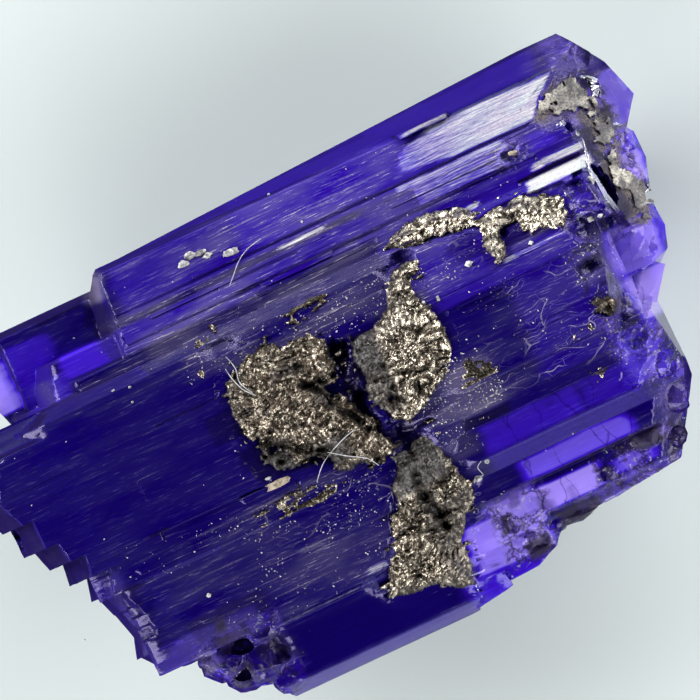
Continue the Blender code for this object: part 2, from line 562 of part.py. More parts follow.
def cleaned(mesh):
    """Weld slivers and turn the faces into an even triangulation."""
    tool = bmesh.new()
    tool.from_mesh(mesh)
    bmesh.ops.dissolve_limit(tool, angle_limit=FLAT_ENOUGH, verts=tool.verts, edges=tool.edges)
    bmesh.ops.remove_doubles(tool, verts=tool.verts, dist=WELD)
    bmesh.ops.dissolve_degenerate(tool, edges=tool.edges, dist=WELD)
    split_faces(tool)
    bmesh.ops.recalc_face_normals(tool, faces=tool.faces)
    tool.to_mesh(mesh)
    tool.free()
    return mesh


def piece(name, mesh, material):
    mesh.transform(Matrix.Scale(MM, 4))
    mesh.materials.clear()
    mesh.materials.append(material)
    item = bpy.data.objects.new(name, mesh)
    bpy.context.scene.collection.objects.link(item)


def free_mesh(name, tool):
    split_faces(tool)
    bmesh.ops.recalc_face_normals(tool, faces=tool.faces)
    mesh = bpy.data.meshes.new(name)
    tool.to_mesh(mesh)
    tool.free()
    return mesh


def grow_columns(parts):
    """Everything that has grown together into the crystal."""
    front_column(parts)
    front_slats(parts)
    middle_shelf(parts)
    bottom_column(parts)
    upper_column(parts)
    ridge_columns(parts)
    rear_column(parts)
    window_shelf(parts)
    lower_foot(parts)
    left_knobs(parts)
    right_end(parts)
    plates(parts)


def surface_tree(mesh):
    """Search tree of a mesh, for draping the crusts over it."""
    tool = bmesh.new()
    tool.from_mesh(mesh)
    tree = BVHTree.FromBMesh(tool)
    tool.free()
    return tree


def build():
    clear_scene()
    parts = group("crystal_columns")
    cutters = group("pits_and_seats")
    grow_columns(parts)
    heart = hull([(u, v, z) for u in (-6.0, 6.0) for v in (-2.3, 1.5) for z in (0.6, 5.0)])
    base = helper("heart", heart, bpy.context.scene.collection)
    grown = joined("grown_mesh", base, parts, "UNION")
    tree = surface_tree(grown)

    pits(cutters)
    floor_block(cutters)
    helper("clay_groove", clay_seam(GAP), cutters)
    for seed, (name, (outline, centre, rise, depth)) in enumerate(CRUSTS.items()):
        helper(name + "_seat", crust(tree, outline, centre, rise, depth, seed, GAP), cutters)
    base.data = grown
    crystal = cleaned(joined("tanzanite_crystal", base, cutters, "DIFFERENCE"))
    bpy.data.objects.remove(base, do_unlink=True)

    blue = surface("deep_violet_crystal", (0.035, 0.016, 0.30), 0.15, 0.0)
    grey = surface("brassy_graphite", (0.33, 0.31, 0.25), 0.45, 0.8)
    tan = surface("tan_clay", (0.36, 0.31, 0.24), 0.9, 0.0)
    piece("tanzanite_crystal", crystal, blue)
    for seed, (name, (outline, centre, rise, depth)) in enumerate(CRUSTS.items()):
        piece(name, free_mesh(name, crust(tree, outline, centre, rise, depth, seed)), grey)
    piece("clay_crust", free_mesh("clay_crust", clay_seam()), tan)


build()
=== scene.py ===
"""Rough tanzanite: striated, clear blue-violet columns with sparkling graphite and a clay seam.

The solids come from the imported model. A place on the stone is (u, v) in millimetres: u runs
along the striations and v across them, as seen from above.
"""

import itertools
import json
import math
import random

import bmesh
import bpy
import numpy as np
from bpy.props import FloatProperty, FloatVectorProperty, IntProperty, PointerProperty
from mathutils import Matrix, Vector
from mathutils.bvhtree import BVHTree

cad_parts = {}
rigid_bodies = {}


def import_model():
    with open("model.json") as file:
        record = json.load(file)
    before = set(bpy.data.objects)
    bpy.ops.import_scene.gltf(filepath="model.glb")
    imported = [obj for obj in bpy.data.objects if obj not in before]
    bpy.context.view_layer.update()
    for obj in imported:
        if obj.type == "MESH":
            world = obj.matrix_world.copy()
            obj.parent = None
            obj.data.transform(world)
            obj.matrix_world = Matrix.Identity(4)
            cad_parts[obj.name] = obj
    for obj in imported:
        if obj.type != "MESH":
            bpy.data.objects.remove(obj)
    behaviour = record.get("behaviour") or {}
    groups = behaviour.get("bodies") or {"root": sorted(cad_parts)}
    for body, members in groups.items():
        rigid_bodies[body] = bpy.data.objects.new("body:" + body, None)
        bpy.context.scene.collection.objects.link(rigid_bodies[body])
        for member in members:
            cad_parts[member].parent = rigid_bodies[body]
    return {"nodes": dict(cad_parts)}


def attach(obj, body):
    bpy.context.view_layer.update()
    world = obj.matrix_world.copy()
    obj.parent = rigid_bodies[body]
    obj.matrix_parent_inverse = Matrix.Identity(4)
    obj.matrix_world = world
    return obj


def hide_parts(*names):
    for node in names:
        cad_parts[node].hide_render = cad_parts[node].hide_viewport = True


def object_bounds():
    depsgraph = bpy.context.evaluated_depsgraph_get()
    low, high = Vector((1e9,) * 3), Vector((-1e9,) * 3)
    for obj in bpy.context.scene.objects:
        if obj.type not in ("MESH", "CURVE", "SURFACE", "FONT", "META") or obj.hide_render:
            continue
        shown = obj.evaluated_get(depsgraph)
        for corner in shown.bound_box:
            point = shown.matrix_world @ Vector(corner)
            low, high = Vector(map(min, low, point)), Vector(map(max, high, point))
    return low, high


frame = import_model()
SOLID_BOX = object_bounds()

bl_info = {
    "name": "Rough Tanzanite",
    "version": (1, 0, 0),
    "blender": (4, 5, 0),
    "location": "View3D > Sidebar > Tanzanite",
    "description": "Builds a rough tanzanite crystal with graphite crusts on a studio stage",
    "category": "Add Mesh",
}

MM = 0.001
SHIFT_U, SHIFT_V = 0.4, 1.0      # a place (u, v) lies at x = u + SHIFT_U, y = v + SHIFT_V
DOWN = Vector((0.0, 0.0, -1.0))
HIGH = 30.0
STONE_MIDDLE = Vector((0.0, 0.0, 0.004))

# Cells, in millimetres, and passes that carry the faces' heights on over a seat
GROUND_STEP, SPREAD_PASSES = 0.15, 900
CRUST_RISE, CRUST_LIFT, CRUST_SINK = 0.68, 0.03, 0.06
CLAY_PITCH, CLAY_FLAKE = 0.03, 0.05
GROWTH_PLATES = 700
# Share of a normal along which the relief stands out, less along the striations
OUTWARD = (0.3, 1.0, 1.0)
CRYSTAL_CREASE, GRAPHITE_CREASE = math.radians(22.0), math.radians(35.0)
# Mean strength of frost (with its painted highlight) or dullness from which a face is etched, and the
# painted shade that darkens the dull, steep ends
ETCHED_FROM, DULL_END_SHADE = 0.22, 0.78

# Seats of the graphite crusts in the front faces: outline (u, v) and rise
CRUSTS = {
    "graphite_left": ([(-3.6, 1.6), (-2.9, 1.8), (-2.3, 1.3), (-1.6, 1.2), (-0.7, 0.9), (-0.35, 0.3),
                       (-0.7, -0.3), (-0.4, -1.2), (-0.2, -2.3), (-1.2, -2.5), (-2.0, -2.1), (-3.0, -2.0),
                       (-3.5, -1.4), (-3.4, -0.6), (-3.5, 0.2), (-3.3, 1.0)], 0.75),
    "graphite_middle": ([(0.25, 0.4), (1.2, 0.6), (1.6, 1.0), (1.8, 1.6), (2.3, 1.75), (2.75, 1.5),
                         (2.45, 1.0), (2.5, 0.5), (2.65, -0.5), (2.5, -1.1), (2.2, -1.7), (1.6, -2.05),
                         (0.9, -2.1), (0.5, -1.9), (0.3, -1.0)], 0.7),
    "graphite_lower": ([(0.0, -3.0), (1.1, -2.95), (1.2, -3.6), (1.45, -4.3), (1.3, -4.9), (0.8, -5.4),
                        (0.65, -6.2), (0.5, -6.8), (-0.4, -6.6), (-1.5, -6.3), (-1.7, -5.8), (-1.1, -5.2),
                        (-0.6, -4.8), (-0.3, -4.0)], 0.55),
    "graphite_ridge": ([(2.2, 2.3), (3.0, 2.6), (4.2, 2.5), (4.9, 2.2), (6.0, 2.1), (6.9, 1.75), (7.1, 1.2),
                        (6.6, 0.9), (6.0, 1.15), (5.3, 1.75), (4.6, 1.85), (3.6, 2.05)], 0.5),
}
SEAT_GAP = 0.3

# Broken outlines of the graphite, its crests and clefts (path, width, height) and its dim patches,
# partly darker graphite and partly painted shade; then how torn its edge is, how far holes stay away,
# how wide its specks are strewn and its shine
FLAKES = {
    "graphite_left": {
        "outline": [(-3.0, 0.95), (-2.6, 1.25), (-2.0, 1.2), (-1.6, 0.95), (-1.2, 1.05), (-0.7, 0.95),
                    (-0.42, 0.5), (-0.33, 0.0), (-0.6, -0.15), (-0.95, -0.3), (-1.05, -0.75), (-0.6, -0.95),
                    (-0.3, -1.4), (-0.08, -1.75), (-0.12, -2.1), (0.0, -2.5), (-0.35, -2.78), (-0.9, -2.68),
                    (-1.55, -2.6), (-1.75, -2.2), (-2.4, -2.0), (-3.1, -1.85), (-3.3, -1.3), (-3.05, -0.9),
                    (-3.35, -0.55), (-3.5, -0.1), (-3.4, 0.4), (-3.15, 0.8)],
        "creases": [([(-1.9, 0.45), (-1.3, 0.35)], 0.1, -0.2),
                    ([(-1.45, -0.05), (-1.1, -0.4), (-0.95, -0.9), (-0.6, -1.3), (-0.35, -1.9)], 0.11,
                     -0.3),
                    ([(-0.8, -0.95), (-0.5, -1.3), (-0.3, -1.55)], 0.06, 0.16),
                    ([(-1.1, -1.0), (-0.8, -1.5), (-0.35, -1.8)], 0.06, 0.13),
                    ([(-1.6, -1.1), (-1.2, -1.9)], 0.07, 0.12),
                    ([(-2.9, -0.2), (-2.5, -0.9), (-2.2, -1.2)], 0.12, 0.14),
                    ([(-3.2, -0.9), (-2.6, -1.5), (-1.5, -1.9)], 0.2, -0.32),
                    ([(-1.4, -2.3), (-0.7, -2.6)], 0.08, 0.15)],
        "dim": [(-3.7, -2.5, -2.1, -1.1, 0.9), (-1.3, -0.8, -0.8, -0.1, 0.7), (-2.1, -1.4, 0.3, 0.6, 0.7),
                (-2.2, -1.0, -2.4, -1.7, 0.8), (-3.6, -3.0, -0.3, 0.9, 0.3)],
        "ragged": 0.25, "holes": 1.0, "spray": 0.9, "shade": 0.62},
    "graphite_middle": {
        "outline": [(0.08, 0.0), (0.25, 0.38), (0.6, 0.52), (1.1, 0.57), (1.5, 0.8), (1.65, 1.05),
                    (1.75, 1.3), (2.0, 1.62), (2.4, 1.73), (2.74, 1.62), (2.72, 1.38), (2.45, 1.3),
                    (2.3, 1.1), (2.35, 0.6), (2.57, 0.3), (2.64, -0.2), (2.62, -0.9), (2.4, -1.3),
                    (2.0, -1.5), (1.5, -1.8), (1.1, -2.02), (0.8, -2.12), (0.4, -1.97), (0.28, -1.5),
                    (0.08, -1.2), (0.08, -0.6)],
        "creases": [([(0.4, -0.62), (0.9, -0.68), (1.4, -0.85), (1.9, -0.95)], 0.05, 0.13),
                    ([(0.4, -0.78), (1.0, -0.85), (1.8, -1.1)], 0.06, -0.14),
                    ([(0.9, -1.2), (1.6, -1.15), (2.3, -1.1)], 0.06, 0.1),
                    ([(0.6, -1.35), (1.0, -1.7)], 0.07, -0.14), ([(1.1, 0.3), (1.3, -0.5)], 0.15, 0.12),
                    ([(1.6, 0.9), (1.9, 1.3), (2.3, 1.5), (2.65, 1.45)], 0.12, 0.2),
                    ([(0.2, 0.2), (0.8, 0.1)], 0.15, -0.2)],
        "dim": [(-0.1, 0.9, -0.8, 0.7, 0.95), (-0.1, 0.9, -1.8, -0.6, 0.8), (0.9, 2.0, 0.1, 0.8, 0.25),
                (1.6, 2.4, 0.75, 1.05, 0.5)],
        "ragged": 0.12, "holes": 1.0, "spray": 0.3, "shade": 0.95},
    "graphite_lower": {
        "outline": [(-0.08, -2.85), (0.4, -2.9), (0.9, -2.75), (1.1, -2.9), (1.15, -3.4), (1.3, -3.9),
                    (1.5, -4.4), (1.45, -4.8), (1.1, -5.1), (0.9, -5.4), (0.75, -5.7), (0.7, -6.1),
                    (0.62, -6.6), (0.52, -7.0), (0.3, -6.9), (-0.2, -6.6), (-0.7, -6.45), (-1.2, -6.4),
                    (-1.75, -6.3), (-1.65, -5.9), (-1.45, -5.5), (-1.2, -5.15), (-0.95, -4.9), (-0.9, -4.5),
                    (-0.5, -4.3), (-0.35, -3.9), (-0.4, -3.6), (-0.1, -3.3)],
        "creases": [([(0.3, -3.55), (0.25, -4.1), (0.4, -4.7), (0.45, -5.2)], 0.12, -0.36),
                    ([(-0.1, -3.4), (-0.1, -4.2)], 0.15, 0.13), ([(0.75, -3.6), (1.1, -4.4)], 0.2, 0.13)],
        "dim": [(-0.4, 1.2, -4.0, -2.7, 0.9), (0.1, 0.55, -5.3, -3.5, 0.8), (0.5, 1.4, -5.5, -4.5, 0.45),
                (0.0, 0.8, -7.1, -5.3, 0.45), (-1.8, 0.3, -6.8, -6.35, 0.4)],
        "ragged": 0.12, "holes": 1.0, "spray": 0.4, "shade": 0.74},
    "graphite_ridge": {
        "outline": [(2.1, 2.35), (2.5, 2.52), (3.0, 2.62), (3.6, 2.62), (4.1, 2.52), (4.5, 2.38),
                    (4.9, 2.17), (5.2, 2.17), (5.6, 2.02), (6.0, 2.14), (6.3, 1.92), (6.7, 1.77),
                    (7.1, 1.57), (7.0, 1.2), (6.8, 0.88), (6.5, 0.83), (6.2, 1.02), (5.8, 1.05),
                    (5.75, 1.5), (5.2, 1.65), (5.02, 1.4), (5.0, 0.8), (4.75, 0.7), (4.6, 1.1), (4.75, 1.6),
                    (4.6, 1.85), (4.0, 2.02), (3.6, 2.05), (3.0, 2.1), (2.6, 2.15)],
        "creases": [([(2.6, 2.4), (3.6, 2.4), (4.6, 2.15)], 0.12, 0.1),
                    ([(5.7, 1.85), (6.2, 1.6), (6.9, 1.4)], 0.14, 0.15),
                    ([(5.2, 1.75), (5.7, 1.6)], 0.08, -0.15)],
        "dim": [(4.5, 5.1, 0.6, 1.5, 0.5), (2.0, 2.6, 2.1, 2.5, 0.5), (5.0, 5.8, 1.5, 1.8, 0.6),
                (3.0, 4.0, 2.0, 2.15, 0.5)],
        "ragged": 0.14, "holes": 0.8, "spray": 0.35, "shade": 1.25},
}

# Thin films of graphite drawn out along the striations: outline, share of shine and cover
FILMS = [([(2.4, -0.9), (3.1, -1.0), (3.5, -1.5), (3.4, -2.2), (3.0, -2.8), (1.3, -2.7), (1.1, -2.1),
           (1.6, -1.8), (2.2, -1.5)], 0.75, 0.25),
         ([(-3.8, 1.6), (-3.5, 1.7), (-3.1, 1.6), (-3.0, 1.35), (-3.4, 1.2), (-3.75, 1.3)], 0.8, 0.12),
         ([(-3.6, 2.1), (-2.9, 2.3), (-2.95, 2.15), (-3.5, 1.95)], 0.7, 0.12),
         ([(-1.3, 1.6), (-0.5, 1.5), (0.0, 1.9), (0.1, 2.2), (-0.2, 2.1), (-0.9, 1.75)], 0.6, 0.12),
         ([(5.7, -3.05), (5.9, -2.9), (6.2, -2.9), (6.3, -3.05), (6.0, -3.15)], 0.8, 0.12),
         ([(6.6, -1.4), (6.9, -1.25), (7.15, -1.6), (6.95, -1.9), (6.7, -1.75)], 0.5, 0.12),
         ([(5.7, -2.05), (6.2, -2.0), (6.5, -2.15), (6.2, -2.25), (5.8, -2.2)], 1.1, 0.12),
         ([(-3.9, -2.75), (-2.6, -2.75), (-1.6, -2.8), (-1.7, -3.0), (-2.4, -3.15), (-3.9, -2.95)], 0.7,
          0.12)]

# Groove of the clay seam in the crystal, and the clay that shows in it: u, v and half width
CLAY_PATH = [(7.5, 3.85, 0.22), (8.1, 4.1, 0.3), (8.65, 3.9, 0.32), (8.8, 3.3, 0.3), (8.75, 2.6, 0.24),
             (8.5, 1.9, 0.2), (8.6, 1.2, 0.26), (8.8, 0.6, 0.24)]
CLAY_TRACE = [(7.55, 3.92, 0.1), (7.9, 4.08, 0.17), (8.4, 4.12, 0.17), (8.65, 3.75, 0.24),
              (8.75, 3.3, 0.28), (8.85, 2.8, 0.28), (8.85, 2.3, 0.18), (8.74, 1.9, 0.1), (8.76, 1.4, 0.1),
              (9.0, 0.95, 0.2), (8.95, 0.6, 0.2), (8.85, 0.15, 0.12)]
# Darker lengths of the clay, partly darker clay and partly painted shade: u0, u1, v0, v1 and how dark
CLAY_DIM = [(8.4, 9.4, 2.1, 3.0, 0.7), (8.5, 9.5, 0.4, 1.1, 0.75), (7.3, 8.0, 3.6, 4.0, 0.6),
            (8.0, 8.7, 3.5, 4.5, 0.55)]


def scattered(cells, seed):
    """A fixed pseudo-random number from 0 to 1 for each whole-number cell."""
    mixed = np.full(cells.shape[:-1], seed * 7919, np.int64)
    for k, prime in enumerate((73856093, 19349663, 83492791)[:cells.shape[-1]]):
        mixed = mixed ^ (cells[..., k] * prime)
    mixed = (mixed ^ (mixed >> 13)) & 0xFFFFFFFF
    mixed = (mixed * 1274126177) & 0xFFFFFFFF
    return ((mixed ^ (mixed >> 16)) & 0xFFFFFF) / float(0xFFFFFF)


def drift(points, scale, seed):
    """Smooth noise from -1 to 1; scale holds the cells per millimetre along each axis."""
    spot = points * np.asarray(scale, float)
    base = np.floor(spot).astype(np.int64)
    part = spot - base
    part = part * part * (3.0 - 2.0 * part)
    total = np.zeros(len(points))
    for corner in itertools.product((0, 1), repeat=points.shape[1]):
        weight = np.prod(np.where(np.array(corner) == 1, part, 1.0 - part), axis=1)
        total += weight * scattered(base + np.array(corner), seed)
    return total * 2.0 - 1.0


def layered(points, scale, seed, octaves=3):
    """Noise with finer layers on top, each half as strong."""
    scale = np.asarray(scale, float)
    total, share = np.zeros(len(points)), 1.0
    for octave in range(octaves):
        total += share * drift(points, scale * 2 ** octave, seed + 17 * octave)
        share *= 0.5
    return total / (2.0 - 2.0 * share)


def creased(points, scale, seed, octaves=3):
    """Noise with sharp crests, from 0 in the hollows to 1 on the crests."""
    scale = np.asarray(scale, float)
    total, share = np.zeros(len(points)), 1.0
    for octave in range(octaves):
        total += share * (1.0 - np.abs(drift(points, scale * 2 ** octave, seed + 29 * octave)))
        share *= 0.5
    return total / (2.0 - 2.0 * share)


def plates(points, scale, seed, tilt):
    """Height of flat little facets, each tilted its own way, and a number from 0 to 1 for each."""
    spot = points * scale
    base = np.floor(spot).astype(np.int64)
    nearest = np.full(len(points), 1e9)
    height, number = np.zeros(len(points)), np.zeros(len(points))
    for step in itertools.product((-1, 0, 1), repeat=2):
        cell = base + np.array(step)
        centre = cell + np.stack([scattered(cell, seed), scattered(cell, seed + 1)], axis=1)
        away = spot - centre
        far = (away ** 2).sum(axis=1)
        lean = np.stack([scattered(cell, seed + 2), scattered(cell, seed + 3)], axis=1) * 2.0 - 1.0
        here = far < nearest
        height = np.where(here, (away * lean).sum(axis=1) * tilt + 0.3 * (lean[:, 0] + 1.0) * tilt, height)
        number = np.where(here, scattered(cell, seed + 4), number)
        nearest = np.where(here, far, nearest)
    return height / scale, number


def fade(value, low, high):
    """0 below low, 1 above high, smooth between."""
    t = np.clip((value - low) / (high - low), 0.0, 1.0)
    return t * t * (3.0 - 2.0 * t)


def patch(u, v, spans, soft_u=0.5, soft_v=0.08):
    """Mask of a rectangle (u0, u1, v0, v1) on the stone, soft at its edges."""
    u0, u1, v0, v1 = spans
    along = fade(u, u0 - soft_u, u0 + soft_u) * (1.0 - fade(u, u1 - soft_u, u1 + soft_u))
    return along * fade(v, v0 - soft_v, v0 + soft_v) * (1.0 - fade(v, v1 - soft_v, v1 + soft_v))


def positions(mesh):
    found = np.zeros(len(mesh.vertices) * 3)
    mesh.vertices.foreach_get("co", found)
    return found.reshape(-1, 3)


def directions(mesh):
    found = np.zeros(len(mesh.vertices) * 3)
    mesh.vertex_normals.foreach_get("vector", found)
    return found.reshape(-1, 3)


def inside_box(points):
    """Keep points, in millimetres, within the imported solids' box."""
    low, high = (np.array(corner) / MM for corner in SOLID_BOX)
    return np.clip(points, low + 1e-4, high - 1e-4)


def piece(name, mesh, node=None):
    """Link a mesh as a piece of the stone that stands for a node of the solids."""
    item = bpy.data.objects.new(name, mesh)
    bpy.context.scene.collection.objects.link(item)
    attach(item, "root")
    if node:
        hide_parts(node)
    return item


def mark(mesh, name, values):
    """Store one number per vertex for the materials to read."""
    layer = mesh.attributes.new(name, "FLOAT", "POINT")
    layer.data.foreach_set("value", values.astype(np.float32))


def tree_of(name):
    """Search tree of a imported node, in millimetres."""
    mesh = frame["nodes"][name].data
    points = positions(mesh) / MM
    return BVHTree.FromPolygons(points.tolist(), [list(p.vertices) for p in mesh.polygons])


def strips(tool, faces, axis, places):
    """Cut the given faces by planes across one axis."""
    group = set(faces)
    for face in faces:
        group.update(face.verts)
        group.update(face.edges)
    group = list(group)
    facing = Vector([float(i == axis) for i in range(3)])
    for cut in places:
        made = bmesh.ops.bisect_plane(tool, geom=group, dist=0.002,
                                      plane_co=facing * float(cut), plane_no=facing)
        group = made["geom"]


def welded_solid(name):
    """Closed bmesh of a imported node, in millimetres."""
    tool = bmesh.new()
    tool.from_mesh(frame["nodes"][name].data)
    bmesh.ops.scale(tool, vec=(1 / MM, 1 / MM, 1 / MM), verts=tool.verts)
    bmesh.ops.remove_doubles(tool, verts=tool.verts, dist=0.0005)
    return tool


def ribbon(path, widths):
    """Closed outline round a path of (u, v)."""
    path = np.asarray(path, float)
    along = np.gradient(path, axis=0)
    along /= np.linalg.norm(along, axis=1)[:, None]
    side = np.stack([-along[:, 1], along[:, 0]], axis=1) * np.asarray(widths)[:, None]
    return [tuple(spot) for spot in np.concatenate([path + side, (path - side)[::-1]]).tolist()]


CLAY_OUTLINE = ribbon([spot[:2] for spot in CLAY_PATH], [spot[2] for spot in CLAY_PATH])


def sliced_crystal(along, across, upright):
    """The crystal, cut into narrow strips that run along its striations."""
    tool = welded_solid("tanzanite_crystal")
    bmesh.ops.dissolve_limit(tool, angle_limit=math.radians(0.3), verts=tool.verts, edges=tool.edges)
    span_x, span_y, span_z = zip(*([c / MM for c in corner] for corner in SOLID_BOX))
    tool.normal_update()
    strips(tool, [f for f in tool.faces if f.normal.z > 0.25], 1, np.arange(*span_y, across))
    tool.normal_update()
    strips(tool, [f for f in tool.faces if f.normal.z <= 0.25], 1, np.arange(*span_y, across * 4))
    tool.normal_update()
    fine = [np.arange(low + SHIFT_U, high + SHIFT_U, across * 2.3) for low, high in BROKEN_SPANS]
    lengths = np.concatenate([np.arange(*span_x, along)] + fine)
    strips(tool, [f for f in tool.faces if f.normal.z > -0.2], 0, lengths)
    strips(tool, [f for f in tool.faces if f.normal.z <= -0.2], 0, np.arange(*span_x, along * 2.5))
    tool.normal_update()
    strips(tool, [f for f in tool.faces if abs(f.normal.z) < 0.75], 2, np.arange(*span_z, upright))
    bmesh.ops.remove_doubles(tool, verts=tool.verts, dist=0.0005)
    bmesh.ops.triangulate(tool, faces=tool.faces)
    mesh = bpy.data.meshes.new("tanzanite_crystal_grown")
    tool.to_mesh(mesh)
    tool.free()
    return mesh


def ledge_relief(u, v, count, seed, height):
    """Thin growth plates, long along the striations, that stand proud of the faces."""
    rng = random.Random(seed)
    total = np.zeros(len(u))
    for _ in range(count):
        length, width = rng.uniform(1.2, 7.0), rng.choice((0.06, 0.08, 0.11, 0.16, 0.26, 0.4))
        u0, v0 = rng.uniform(-11.0, 8.0), rng.uniform(-8.0, 6.0)
        near = (v > v0 - 0.1) & (v < v0 + width + 0.1)
        spans = (u0, u0 + length, v0, v0 + width)
        total[near] += patch(u[near], v[near], spans, 0.15, 0.03) * height * rng.uniform(-0.6, 1.0)
    return total


# Heights of the broad front faces across the striations, from low v to high v
FACE_V = (-5.6, -4.9, -3.1, -2.0, -0.5, 0.7, 1.9, 2.3, 2.95, 3.8, 4.8)
FACE_Z = (5.6, 5.95, 6.6, 7.0, 7.1, 6.95, 6.55, 5.95, 5.8, 5.55, 5.1)

# Rough, broken places: u0, u1, v0, v1 and how rough; they lie in these stretches of u
BROKEN = [(6.7, 8.6, -0.2, 1.95, 0.8), (6.5, 7.7, -3.2, 0.3, 0.8), (7.9, 9.4, 0.9, 4.6, 1.0),
          (7.0, 8.2, -5.8, -2.4, 0.8), (4.7, 7.4, -6.5, -5.1, 1.0), (1.6, 3.3, -7.1, -5.1, 1.0),
          (-7.2, -4.8, -7.6, -5.2, 0.8), (5.7, 6.8, 2.8, 3.6, 0.8), (3.2, 4.7, -6.7, -6.05, 1.0),
          (8.2, 9.4, 4.4, 5.6, 0.4)]
BROKEN_SPANS = [(-7.2, -4.8), (1.6, 3.3), (4.7, 9.7)]

# Faces that are smooth between the striations: u0, u1, v0, v1 and how smooth
SMOOTH = [(-10.9, -3.9, -1.95, 1.7, 0.93), (-5.2, 0.3, -7.7, -5.85, 0.85), (2.8, 4.6, -1.2, 0.1, 0.9),
          (2.4, 6.6, -3.9, -3.15, 0.6), (2.0, 6.9, -5.05, -3.95, 0.85), (2.8, 4.9, -6.0, -5.3, 0.8),
          (-8.5, -5.2, 2.3, 4.4, 0.7), (0.6, 2.1, -6.9, -5.5, 0.8), (-6.0, 8.3, 4.95, 5.8, 0.85),
          (3.2, 8.2, 3.8, 4.85, 0.75), (7.2, 9.7, -2.4, 2.4, 0.7), (6.2, 8.3, 2.0, 2.8, 0.8)]


def roughness_map(u, v):
    """1 where the striations are strong, near 0 on the glassy faces."""
    rough = np.ones(len(u))
    for u0, u1, v0, v1, share in SMOOTH:
        rough *= 1.0 - share * patch(u, v, (u0, u1, v0, v1), 0.4, 0.1)
    return rough


def filled(points):
    """Lift the floors of the seats in the crystal to the faces round them."""
    u, v = points[:, 0] - SHIFT_U, points[:, 1] - SHIFT_V
    tree = tree_of("tanzanite_crystal")
    for outline, soft in [(outline, 0.35) for outline, _ in CRUSTS.values()] + [(CLAY_OUTLINE, 0.15)]:
        reach = np.array(outline)
        low, high = reach.min(axis=0) - 0.9, reach.max(axis=0) + 0.9
        near = np.flatnonzero((u > low[0]) & (u < high[0]) & (v > low[1]) & (v < high[1]))
        away = -distance_inside(u[near], v[near], outline)
        ground = ground_height(tree, u[near], v[near], outline)
        z = points[near, 2]
        share = (1.0 - fade(away, SEAT_GAP + 0.06, SEAT_GAP + 0.06 + soft)) * (z > ground - 1.2)
        points[near, 2] = z + share * (ground - z)
    return points


def evened(points, normals):
    """Draw the broad front faces towards their even slope, most where they are glassy."""
    u, v = points[:, 0] - SHIFT_U, points[:, 1] - SHIFT_V
    even = np.interp(v, FACE_V, FACE_Z)
    near = 1.0 - fade(np.abs(points[:, 2] - even), 0.12, 0.24)
    share = near * (1.0 - 0.1 * roughness_map(u, v)) * (v > FACE_V[0]) * (v < FACE_V[-1])
    share *= fade(normals[:, 2], -0.1, 0.3)
    points[:, 2] += share * (even - points[:, 2])
    return points


def merged(mesh):
    """Weld points that have come together and drop the faces between them."""
    tool = bmesh.new()
    tool.from_mesh(mesh)
    bmesh.ops.remove_doubles(tool, verts=tool.verts, dist=0.004 * MM)
    bmesh.ops.dissolve_degenerate(tool, edges=tool.edges, dist=0.002 * MM)
    bmesh.ops.triangulate(tool, faces=tool.faces)
    tool.to_mesh(mesh)
    tool.free()
    mesh.update()


def relief(points, normals, height):
    """How far each point of the crystal's surface stands out, in millimetres."""
    u, v = points[:, 0] - SHIFT_U, points[:, 1] - SHIFT_V
    rough = roughness_map(u, v)
    upward = fade(normals[:, 2], 0.2, 0.6)
    end = fade(np.abs(normals[:, 0]), 0.35, 0.75)
    bands = layered(points, (0.12, 2.2, 2.2), 5) * 0.9 + layered(points, (0.3, 9.0, 9.0), 11, 2) * 0.7
    columns = ledge_relief(u, v, GROWTH_PLATES, 4, 0.7) * upward + bands
    lumps = layered(points, (1.0, 1.1, 1.1), 23) * 3.5 - creased(points, (2.2, 2.6, 2.6), 31, 2) * 2.5
    broken = painted(u, v, BROKEN, 0.15, 0.15)
    chips = (6.0 * creased(points, (1.4, 1.8, 1.4), 61, 3) - 5.0
             + 2.0 * layered(points, (4.0, 5.0, 4.0), 67, 2))
    return height * ((1.0 - end) * columns * rough + end * lumps + broken * chips)


# Places on the crystal as soft rectangles: u0, u1, v0, v1 and strength. First the windows that one can
# look into, their paler tint partly painted backlight; then the white haze between the striations,
# fine scratches and frosted bars, their white partly a painted highlight
CLEAR_AND_BACKLIT = [(2.9, 6.2, -5.02, -4.43, 0.65), (2.8, 4.9, -6.0, -5.3, 1.0), (0.7, 1.95, -6.9, -5.5, 0.85),
         (1.6, 3.0, -6.9, -5.1, 0.8), (0.2, 3.2, -7.7, -6.9, 0.4), (7.55, 9.1, -1.1, 0.25, 0.8),
         (9.0, 9.5, -0.7, 0.4, 0.5), (7.6, 9.0, -2.4, -1.12, 0.95), (8.95, 9.6, 1.05, 1.95, 1.0),
         (8.9, 9.7, 2.0, 2.6, 0.6), (9.3, 10.2, 2.7, 4.2, 0.5), (-9.7, -8.6, 2.6, 4.2, 0.95),
         (-8.5, -7.2, 2.3, 4.2, 0.25), (-7.3, -5.9, 2.7, 3.4, 0.42), (-5.9, 3.4, 2.7, 3.4, 0.22),
         (-1.5, 4.0, 3.6, 5.0, 0.24), (-5.0, -1.0, 3.6, 5.0, 0.16), (-5.4, 8.0, 4.95, 5.6, 0.1),
         (2.3, 5.3, -3.9, -3.15, 0.36), (5.3, 7.4, -3.9, -3.15, 0.27), (2.3, 6.9, -4.4, -3.92, 0.2),
         (2.6, 7.0, 0.15, 0.95, 0.17), (6.6, 7.9, -3.9, -2.4, 0.45), (4.6, 7.2, -2.7, 0.1, 0.1),
         (7.0, 8.2, -5.2, -3.9, 0.2), (-9.4, -8.1, -5.6, -2.4, 0.06), (-8.3, -5.2, -5.8, -4.9, 0.14),
         (-5.6, 0.6, -7.8, -7.38, 0.2), (4.6, 7.4, -6.5, -6.0, 0.25), (8.3, 9.4, 4.3, 5.7, 0.14),
         (-7.2, -4.8, -7.6, -5.2, 0.2), (2.0, 8.2, 0.9, 4.8, 0.18), (5.2, 6.6, -5.9, -5.5, 0.6),
         (6.8, 7.6, 3.0, 3.5, 0.35)]
